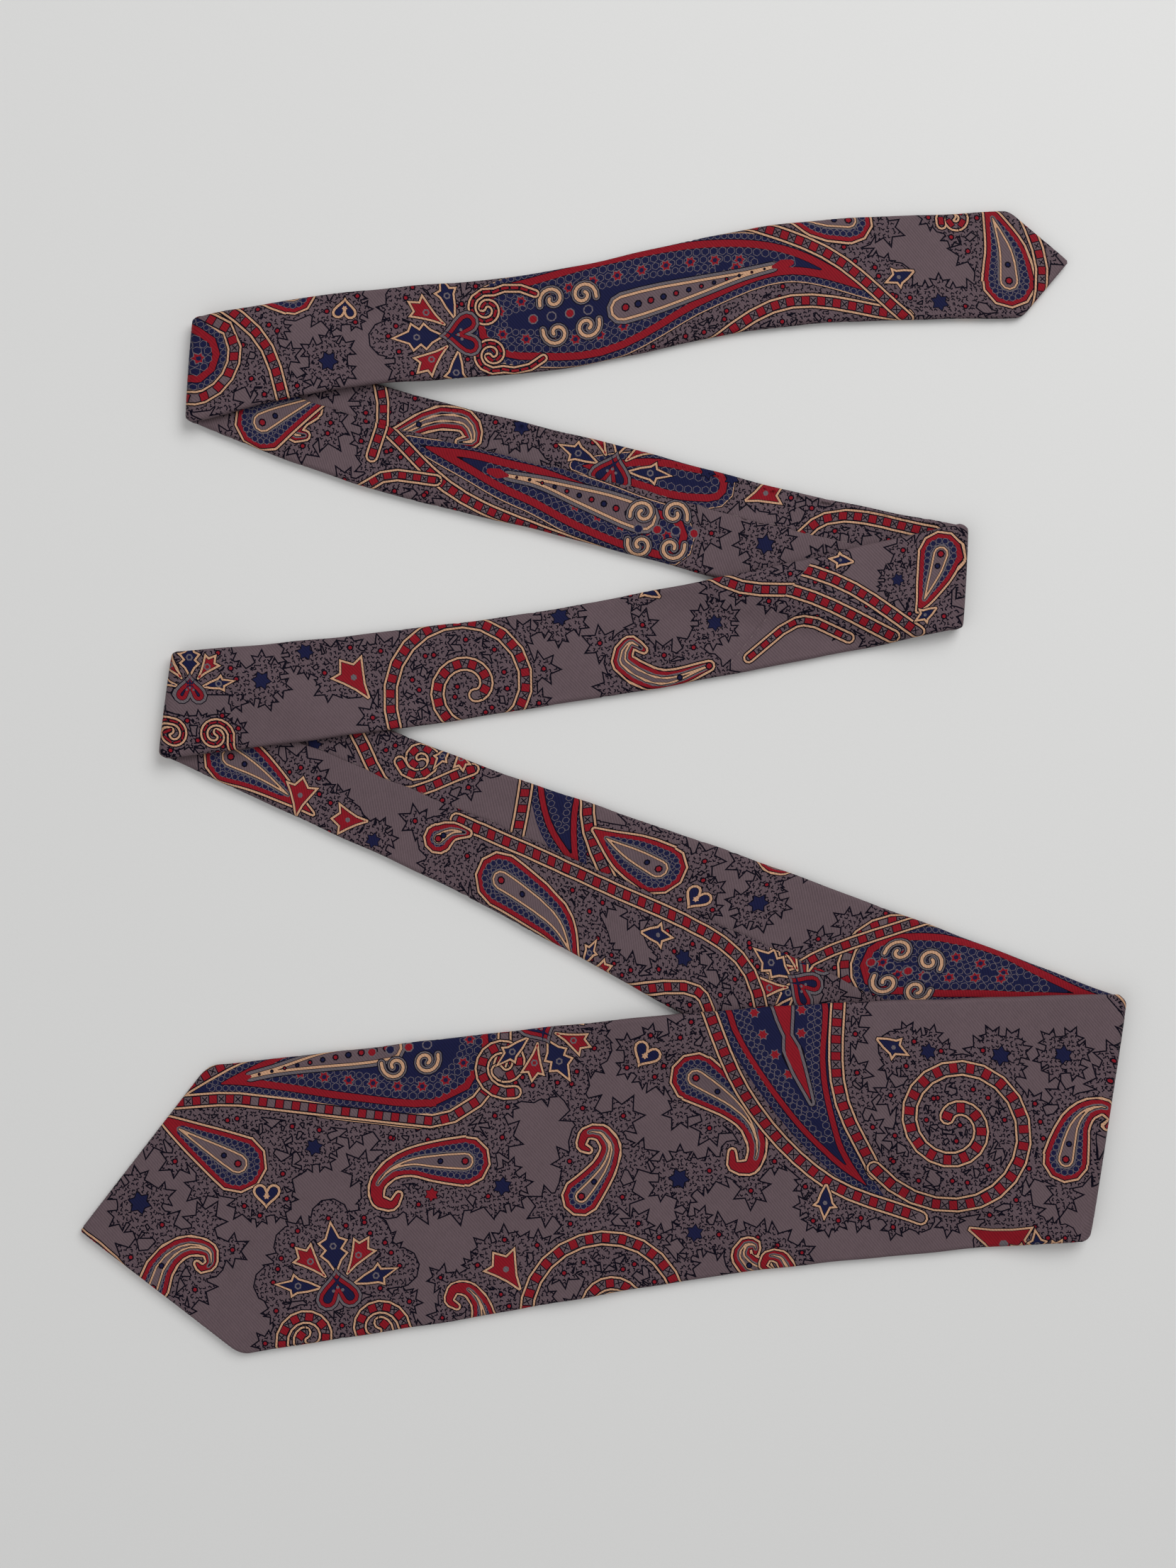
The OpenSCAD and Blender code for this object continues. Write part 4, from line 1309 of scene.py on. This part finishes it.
def print_leg_3():
    at = STARTS[2]
    leg_pen(2, at + 6, -2, 82).twin_curls(0.6)
    leg_pen(2, at + 6, 4, 82).palmette(0.72)
    leg_pen(2, at + 62, -8, 118).flower(TULIP, 15, "crimson")
    big = spiral(0, 28, 2.6, 200, -1.75)
    pen = leg_pen(2, at + 95, -10)
    pen.leafy_band(big, (2.0, 1.8, 8.5, 7.0), 4.6, pitch=5.0)
    leg_pen(2, at + 29, 3, 30).leaf(17)
    leg_pen(2, at + 44, 10, 30).leaf(15)
    leg_pen(2, at + 148, -12, 0).boteh((24, -4, 2), (8, -6, 4), (-3, 2, 4), (0, 8, 2.6), (4, 5, 1.5))
    leg_pen(2, at + 127, 8, 20).leaf(17)
    leg_pen(2, at + 160, 9, 140).flower(LANCE, 9, "navy")
    leg_pen(2, at + 176, -2, 10).leaf(15)
    neck = Pen(0, 0, panel=1)
    blade = Pen(0, 0, panel=0)
    lower = leg_line(2, [(at + 176, 14), (at + 206, 2), (at + 232, -16)])
    upper = leg_line(2, [(at + 190, 18), (at + 218, 4), (at + 240, -16)])
    for pen in (blade, neck):
        pen.halo(lower, np.full(len(lower), 2.0), 1.6, 8, 5.2)
    neck.band(lower, width=4.4, pitch=4.8)
    neck.band(upper, width=4.4, pitch=4.8)
    blade.band(leg_line(2, [(at + 170, 20), (at + 186, 8), (at + 210, 3)]), width=4.4)
    neck.band(leg_line(2, [(at + 185, -15), (at + 203, -6), (at + 218, -14)]), width=3.6)
    leg_pen(2, at + 223, 10, 160).flower(LANCE, 8, "navy")
    leg_pen(2, at + 251, 8, 70).boteh((0, 0, 7.6), (-5, 0.5, 6.6), (-10, 1.5, 5.0), (-15, 2.6, 3.0),
                                      (-19, 4, 1.0))
    leg_pen(2, at + 247, -9, 200).flower(LANCE, 8, "navy")
    leg_pen(2, at + 236, 2, 20).leaf(12)


def print_leg_4():
    inner, outer = -1, 1
    back_pen(3, 94, 12).big_boteh((0, 0, 10), (25, -2, 10), (60, -7, 7), (88, -10, 1.6), band=False, rows=2)
    back_pen(3, 148, 5.5, 176).big_teardrop(46)
    back_pen(3, 88, 9, 10).scrolls()
    back_pen(3, 84, -8, 6).big_boteh((0, 0, 8), (14, 0, 8.5), (30, 0, 6), (44, 0, 2), band=False, rows=1)
    back_pen(3, 116, -4, 268).palmette(0.95)
    back_pen(3, 72, -6, 215).flower(TULIP, 13, "crimson")
    pen = Pen(0, 0)
    across = [(199, -18), (192, -2), (192, 12)]
    lines = [([(190, 2), (160, 17), (112, 23)], outer, 4.4), ([(58, 14), (44, -8), (10, -12)], inner, 4.4),
             (across, inner, 4.2), (across, outer, 4.2), ([(196, 28), (186, 17), (170, 14)], outer, 4.0)]
    for points, side, width in lines:
        band = back_line(3, points, side)
        pen.leafy_band(band, (2.0, 1.6, 8, 6.0), width, pitch=4.8)
    back_pen(3, 174, -6).boteh((13, 10, 2.6), (2, 1, 4), (-8, -1, 4), (-12, 4, 3), (-8, 6, 1.6))
    back_pen(3, 216, 2, 40).boteh((0, 0, 5.2), (5, 2, 4.2), (8, 6, 3.0), (5, 8, 2.0))
    back_pen(3, 214, -10, 60).leaf(16)
    back_pen(3, 229, 11, 80).boteh(*DROP)
    back_pen(3, 226, -9, 30).flower(TULIP, 9, "crimson")
    for u, w, turn, size in ((148, -10, 30, 16), (86, -12, 30, 15), (62, 6, 200, 18), (40, 9, 200, 17),
                             (78, -12, 30, 14), (18, 6, 60, 15)):
        back_pen(3, u, w, turn).leaf(size)


def print_leg_5():
    at = STARTS[4]
    leg_pen(4, at - 1, 4, -62).big_boteh((0, 0, 16), (-10, 0, 13), (-20, 0, 8), (-30, 1, 3), rows=2)
    pen = Pen(0, 0)
    band = leg_line(4, [(at + 3, 27), (at + 22, 6), (at + 27, -22)])
    pen.leafy_band(band, (2.0, 1.8, 8, 6.4), 4.4, pitch=5.0)
    leg_pen(4, at + 33, 21).boteh((0, 0, 7.4), (-7, 3, 6), (-14, 7, 3))
    leg_pen(4, at + 49, 14, 170).small_heart(7.5)
    leg_pen(4, at + 42, -3, 30).leaf(18)
    leg_pen(4, at + 103, 3).big_boteh((0, 0, 15), (28, 0, 18), (60, 4, 13), (90, 3, 7), (118, -10, 2.4),
                                      band=False, rows=3)
    leg_pen(4, at + 188, 9, 183).big_teardrop(50)
    leg_pen(4, at + 112, 3, 0).scrolls()
    for points in ([(at + 154, -19), (at + 190, -2), (at + 229, -11)],
                   [(at + 174, 29), (at + 206, 12), (at + 229, -12)]):
        band = leg_line(4, points)
        pen.leafy_band(band, (2.0, 1.6, 8, 6.2), 4.6, pitch=5.0)
    leg_pen(4, at + 85, 1, 180).twin_curls(0.65)
    leg_pen(4, at + 85, 1, 180).palmette(1.0)
    leg_pen(4, at + 214, 22).boteh((0, 0, 8), (-9, 1, 7), (-17, 4, 4))
    leg_pen(4, at + 233, 3, 200).flower(LANCE, 10, "navy")
    leg_pen(4, at + 240, -8, 20).leaf(16)
    pen = leg_pen(4, at + 248, 18)
    curl = spiral(0, 4.6, 1.4, 200, -1.2)
    pen.leafy_band(curl, (1.6, 1.2, 7, 5.0), 3.6, pitch=4.4)
    leg_pen(4, at + 263, -4).boteh((0, 0, 9), (0, 10, 7), (-4, 25, 1.8))
    Pen(0, 0).band(leg_line(4, [(at + 268, 26), (at + 274, 0), (at + 269, -22)]), width=4.2)


# The whole print, then the cuts at the folds and joins.
print_leg_1()
print_leg_2()
print_leg_3()
print_leg_4()
print_leg_5()
fill_gaps(0, "outer", (-34, -12, 12, 32), 46)
fill_gaps(0, "inner", (12, 32), 52)
fill_gaps(1, None, (-20, 14), 52)
fill_gaps(2, "outer", (0,), 48)
fill_gaps(3, None, (0,), 48)
fill_gaps(4, "outer", (0,), 48)

# ---------------------------------------------------------------- the shell
for n in range(4):
    for past in (0, BEND_L):
        cloth.cut(fold_line(n, past))
for join, slant in ((JOIN_3, JOIN_3_SLANT), (JOIN_4, JOIN_4_SLANT)):
    for off in (-1.4, -0.8, -0.4, 0, 0.4, 0.8, 1.6, 2.4):
        at = join + off * math.hypot(1, slant)
        cloth.cut([(at - 60 * slant, -60), (at + 60 * slant, 60)])
sc, triangles, ink_of = triangulate(cloth)
part_of, panel_at = turned_to(sc, triangles)
xyz = cloth_map(sc)
normals = normals_of(sc, cloth_map)

# Each fold is split by how far its cloth lies from the hinge, so that every band meets both legs.
BANDS = [("front", 2.9, 9), ("outer_side", 1.6, 2.9), ("inner_side", 0.7, 1.6), ("back", 0.0, 0.7)]
bend_strips = []
centre_h = section(sc[:, 0], sc[:, 1])[1][triangles].mean(1)
for n in range(4):
    strips = []
    for band, low, high in BANDS:
        radius = BEND_R + centre_h
        chosen = (part_of == n + 0.5) & (radius >= low) & (radius < high)
        obj = make_mesh(f"shell_bend_{n + 1}_{band}", xyz, normals, sc, triangles[chosen], silks,
                        ink_of[chosen])
        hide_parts(f"shell_bend_{n + 1}")
        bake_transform(obj)
        strips.append(obj)
    bend_strips.append(strips)

PANEL_NAMES = ["blade", "neck", "tail"]
STRIPS_ON = {(1, 0): bend_strips[0] + bend_strips[1], (3, 1): bend_strips[2], (3, 2): bend_strips[3]}
for leg in range(5):
    for panel in range(3):
        name = f"{PANEL_NAMES[panel]}_panel_leg_{leg + 1}"
        chosen = (part_of == leg) & (panel_at == panel)
        if name not in frame["nodes"]:
            continue
        obj = make_mesh(name + "_silk", xyz, normals, sc, triangles[chosen], silks, ink_of[chosen])
        declare_sheet(obj, sc, triangles[chosen], with_pieces=STRIPS_ON.get((leg, panel), ()))
        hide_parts(name)
        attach(obj, LEG_BODIES[leg])

# ---------------------------------------------------------------- what is sewn inside and behind
def lined_half(s):
    """How far out from the middle the inner layers reach."""
    a = half_width(s)
    return np.maximum(a - edge_radius(a) - 0.3, 0.1)


def depth(s, v):
    """How far the tie's faces stand from the middle of its thickness."""
    a = half_width(s)
    return crown(a, edge_radius(a), v)


def slab(name, start, stop, half, top, bottom, material, step=3.0):
    """A closed layer of even rows between two lines across the tie, start(v) and stop(v)."""
    middle = np.float64(0)
    rows = max(3, math.ceil((float(stop(middle)) - float(start(middle))) / step))
    widest = float(np.max(half(np.linspace(float(start(middle)), float(stop(middle)), 9))))
    columns = max(4, math.ceil(2 * widest / step))
    f, w = np.meshgrid(np.linspace(0, 1, rows + 1), np.linspace(-1, 1, columns + 1), indexing="ij")
    v = 0 * w
    for _ in range(8):
        s = start(v) * (1 - f) + stop(v) * f
        v = w * half(s)
    count = s.size
    places = [fold_map(s.ravel(), v.ravel(), layer(s, v).ravel()) for layer in (top, bottom)]
    k = np.arange(count).reshape(s.shape)
    quads = np.stack([k[:-1, :-1], k[1:, :-1], k[1:, 1:], k[:-1, 1:]], -1).reshape(-1, 4)
    ring_of = np.concatenate([k[0, :-1], k[:-1, -1], k[-1, :0:-1], k[:0:-1, 0]])
    after = np.roll(ring_of, -1)
    sides = np.stack([ring_of, after, after + count, ring_of + count], -1)
    faces = np.concatenate([quads[:, ::-1], quads + count, sides])
    triangles = np.concatenate([faces[:, [0, 1, 2]], faces[:, [0, 2, 3]]])
    flat = np.stack([s.ravel(), v.ravel()], 1)
    return make_mesh(name, np.concatenate(places), None, np.concatenate([flat, flat]), triangles,
                     [material])


def tubes(name, runs, radius, material, sides=6):
    """Short threads along runs of points (s, v, h), with rounded ends."""
    places, flats, triangles = [], [], []
    count = 0
    for run in runs:
        line = fold_map(*np.array(run, float).T)
        ahead = np.gradient(line, axis=0)
        ahead /= np.linalg.norm(ahead, axis=1, keepdims=True)
        across = np.cross(ahead, [0, 0, 1.0])
        across /= np.linalg.norm(across, axis=1, keepdims=True)
        up = np.cross(across, ahead)
        size = np.full(len(line), radius)
        size[[0, -1]] *= 0.45
        turn = 2 * np.pi * np.arange(sides) / sides
        rings = (line[:, None] + size[:, None, None] * (np.cos(turn)[None, :, None] * across[:, None]
                                                        + np.sin(turn)[None, :, None] * up[:, None]))
        k = count + np.arange(len(line) * sides).reshape(-1, sides)
        a, b, c, d = k[:-1], np.roll(k, -1, 1)[:-1], np.roll(k, -1, 1)[1:], k[1:]
        triangles += [np.stack([a, b, c], -1).reshape(-1, 3), np.stack([a, c, d], -1).reshape(-1, 3)]
        first, last = k[0], k[-1]
        triangles.append(np.stack([np.full(sides - 2, first[0]), first[2:], first[1:-1]], -1))
        triangles.append(np.stack([np.full(sides - 2, last[0]), last[1:-1], last[2:]], -1))
        places.append(rings.reshape(-1, 3))
        gone = np.repeat(np.array(run, float)[:, 0], sides)
        flats.append(np.stack([gone, np.tile(np.arange(sides) * radius, len(line))], 1))
        count += len(line) * sides
    return make_mesh(name, np.concatenate(places), None, np.concatenate(flats),
                     np.concatenate(triangles), [material])


def stands_for(obj, node, body=None):
    """Puts a piece in place of a CAD node, which it hides, and, if given, on its body."""
    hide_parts(node)
    if body:
        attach(obj, body)
    return obj


def line_at(fold, past, fallback):
    """Where a fold's line lies at v, or a plain line across the tie where there is no fold."""
    if fold is None:
        return lambda v: fallback + 0 * v
    return lambda v: ENDS[fold] + past + SLANTS[fold] * v


LINING_LAP = (STARTS[2] + 118, STARTS[2] + 152)    # where the two interlinings lap each other
GAP = 0.3                                      # the wool stops this far short of each fold's line
WOOL_PARTS = [("blade_interlining_leg_1", 0, line_at(None, 0, 3.5), line_at(0, -GAP, 0)),
              ("blade_interlining_leg_2", 1, line_at(0, BEND_L + GAP, 0), line_at(1, -GAP, 0)),
              ("blade_interlining_leg_3", 2, line_at(1, BEND_L + GAP, 0), line_at(None, 0, LINING_LAP[1])),
              ("tail_interlining_leg_3", 2, line_at(None, 0, LINING_LAP[0]), line_at(2, -GAP, 0)),
              ("tail_interlining_leg_4", 3, line_at(2, BEND_L + GAP, 0), line_at(3, -GAP, 0)),
              ("tail_interlining_leg_5", 4, line_at(3, BEND_L + GAP, 0), line_at(None, 0, TIE_L - 3.5))]


def wool_top(s, v):
    return depth(s, v) - 0.4


def wool_bottom(s, v):
    return 1.1 - depth(s, v)


def wool_middle(s, v):
    return (wool_top(s, v) + wool_bottom(s, v)) / 2


def lap_in(s, start):
    """Goes from 0 to 1 over the first 4 mm past start."""
    return smoothstep((s - start) / 4)


def blade_end_top(s, v):
    """The top of the blade's interlining, which goes under the tail's where they lap."""
    down = lap_in(s, LINING_LAP[0] - 5)
    return wool_top(s, v) * (1 - down) + (wool_middle(s, v) - 0.03) * down


def tail_end_bottom(s, v):
    """The underside of the tail's interlining, which lies on the blade's where they lap."""
    down = 1 - lap_in(s, LINING_LAP[1] + 1)
    return wool_bottom(s, v) * (1 - down) + (wool_middle(s, v) + 0.03) * down


wool_objects = {}
for name, leg, start, stop in WOOL_PARTS:
    top = blade_end_top if name == "blade_interlining_leg_3" else wool_top
    bottom = tail_end_bottom if name == "tail_interlining_leg_3" else wool_bottom
    wool_objects[name] = slab(name + "_wool", start, stop, lined_half, top, bottom, wool)
for fold in range(4):
    name = f"interlining_bend_{fold + 1}"
    obj = slab(name + "_wool", line_at(fold, 0, 0), line_at(fold, BEND_L, 0), lined_half, wool_top,
               wool_bottom, wool, step=0.6)
    stands_for(obj, name)
    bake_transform(obj)
    wool_objects[name] = obj
WOOL_BENDS = {"blade_interlining_leg_2": ("interlining_bend_1", "interlining_bend_2"),
              "tail_interlining_leg_4": ("interlining_bend_3", "interlining_bend_4")}


def slab_flat(obj, start, stop, **facts):
    """Works out a slab's flat width along its length, which nothing then uses."""
    s = np.linspace(start, stop, 80)
    wide = 2 * lined_half(s)


for name, leg, start, stop in WOOL_PARTS:
    obj = wool_objects[name]
    bends = [wool_objects[bend] for bend in WOOL_BENDS.get(name, ())]
    slab_flat(obj, float(start(0.0)), float(stop(0.0)), with_pieces=bends)
    stands_for(obj, name, LEG_BODIES[leg])


def tipping_top(s, v):
    return 0.95 - depth(s, v)


def tipping_bottom(s, v):
    return 0.75 - depth(s, v)


for name, body, start, stop in (("blade_tipping", "blade_leg", 4.0, BLADE_OPEN + 8),
                                ("tail_tipping", "tail_leg", TIE_L - TAIL_OPEN - 8, TIE_L - 4)):
    obj = slab(name + "_satin", line_at(None, 0, start), line_at(None, 0, stop), lined_half,
               tipping_top, tipping_bottom, satin, step=2.2)
    slab_flat(obj, start, stop)
    stands_for(obj, name, body)


def loop_bottom(s, v):
    """The loop's outer face; its ends are sewn down to the tie's back."""
    return -depth(s, v) - 0.08 - 0.5 * smoothstep((25 - np.abs(v)) / 1.5)


def loop_top(s, v):
    return -depth(s, v) - 0.06


obj = slab("keeper_loop_silk", line_at(None, 0, LOOP_S - 5), line_at(None, 0, LOOP_S + 5),
           lambda s: 25.0 + 0 * s, loop_top, loop_bottom, silks[0], step=1.25)
stands_for(obj, "keeper_loop", "blade_leg")

# The threads lie on the inner flap, just past the outer flap's free edge.
SEAM_H = -0.92


def seam_run(s, length, aside=0.0, parts=4):
    """A thread's way along the lap's edge, from s on, with its ends sunk in."""
    at = s + np.linspace(0, length, parts + 1)
    v = LAP / 2 + lap_wave(at) + 0.42 + aside
    h = SEAM_H + 0 * at
    h[[0, -1]] += 0.22
    return np.stack([at, v, h], 1)


TACKS = [("blade_bar_tack", "blade_leg", BLADE_OPEN + 2),
         ("tail_bar_tack", "tail_leg", TIE_L - TAIL_OPEN - 7)]
for name, body, at in TACKS:
    obj = tubes(name + "_thread", [seam_run(at, 5, 0.42 * row) for row in range(3)], 0.22, thread)
    stands_for(obj, name, body)
for leg in range(5):
    first = BLADE_OPEN + 11 if leg == 0 else STARTS[leg] + 12
    last = TIE_L - TAIL_OPEN - 12 if leg == 4 else ENDS[leg] - 14
    runs = [seam_run(at, 3, 0.05) for at in np.arange(first, last, 12)]
    obj = tubes(f"slip_stitch_leg_{leg + 1}_thread", runs, 0.2, thread)
    stands_for(obj, f"slip_stitch_leg_{leg + 1}", LEG_BODIES[leg])
for leg, join, slant in ((2, JOIN_3, JOIN_3_SLANT), (3, JOIN_4, JOIN_4_SLANT)):
    runs = []
    for v in np.arange(-12.4, 12.5, 2.2):
        at = v + np.linspace(0, 1.3, 4)
        h = depth(join + slant * at, at) - GROOVE - 0.02
        h[[0, -1]] -= 0.15
        runs.append(np.stack([join + slant * at, at, h], 1))
    obj = tubes(f"join_thread_leg_{leg + 1}_thread", runs, 0.12, thread)
    stands_for(obj, f"join_thread_leg_{leg + 1}", LEG_BODIES[leg])

# ---------------------------------------------------------------- floor, light and camera
def add_area(name, place, size, power, colour=(1, 1, 1)):
    """A rectangular soft light that faces the tie."""
    light = bpy.data.lights.new(name, "AREA")
    light.shape = "RECTANGLE"
    light.size, light.size_y = size
    light.energy = power
    light.color = colour
    obj = bpy.data.objects.new(name, light)
    obj.location = place
    obj.rotation_euler = (-Vector(place)).to_track_quat("-Z", "Y").to_euler()
    bpy.context.scene.collection.objects.link(obj)
    return obj


bpy.ops.mesh.primitive_plane_add(size=6, location=(0, 0, -0.0002))
floor = bpy.context.object
floor.name = "floor"
floor.data.materials.append(paper("paper", (229, 229, 228)))
floor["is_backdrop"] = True

add_area("window_light", (0.55, 0.75, 1.1), (0.9, 0.9), 11)
add_area("fill_light", (-0.9, -0.5, 1.4), (1.6, 1.6), 6)

world = bpy.data.worlds.new("studio")
bpy.context.scene.world = world
world.use_nodes = True
world.node_tree.nodes["Background"].inputs[0].default_value = (1, 1, 1, 1)
world.node_tree.nodes["Background"].inputs[1].default_value = 0.35

camera = bpy.data.objects.new("camera", bpy.data.cameras.new("camera"))
camera.data.lens = 50
camera.data.sensor_width = 36
camera.location = (-0.0053, -0.0004, 0.7067)
bpy.context.scene.collection.objects.link(camera)
bpy.context.scene.camera = camera
bpy.context.scene.view_settings.view_transform = "Standard"

# ---------------------------------------------------------------- the bounds of the shown pieces
low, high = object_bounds()
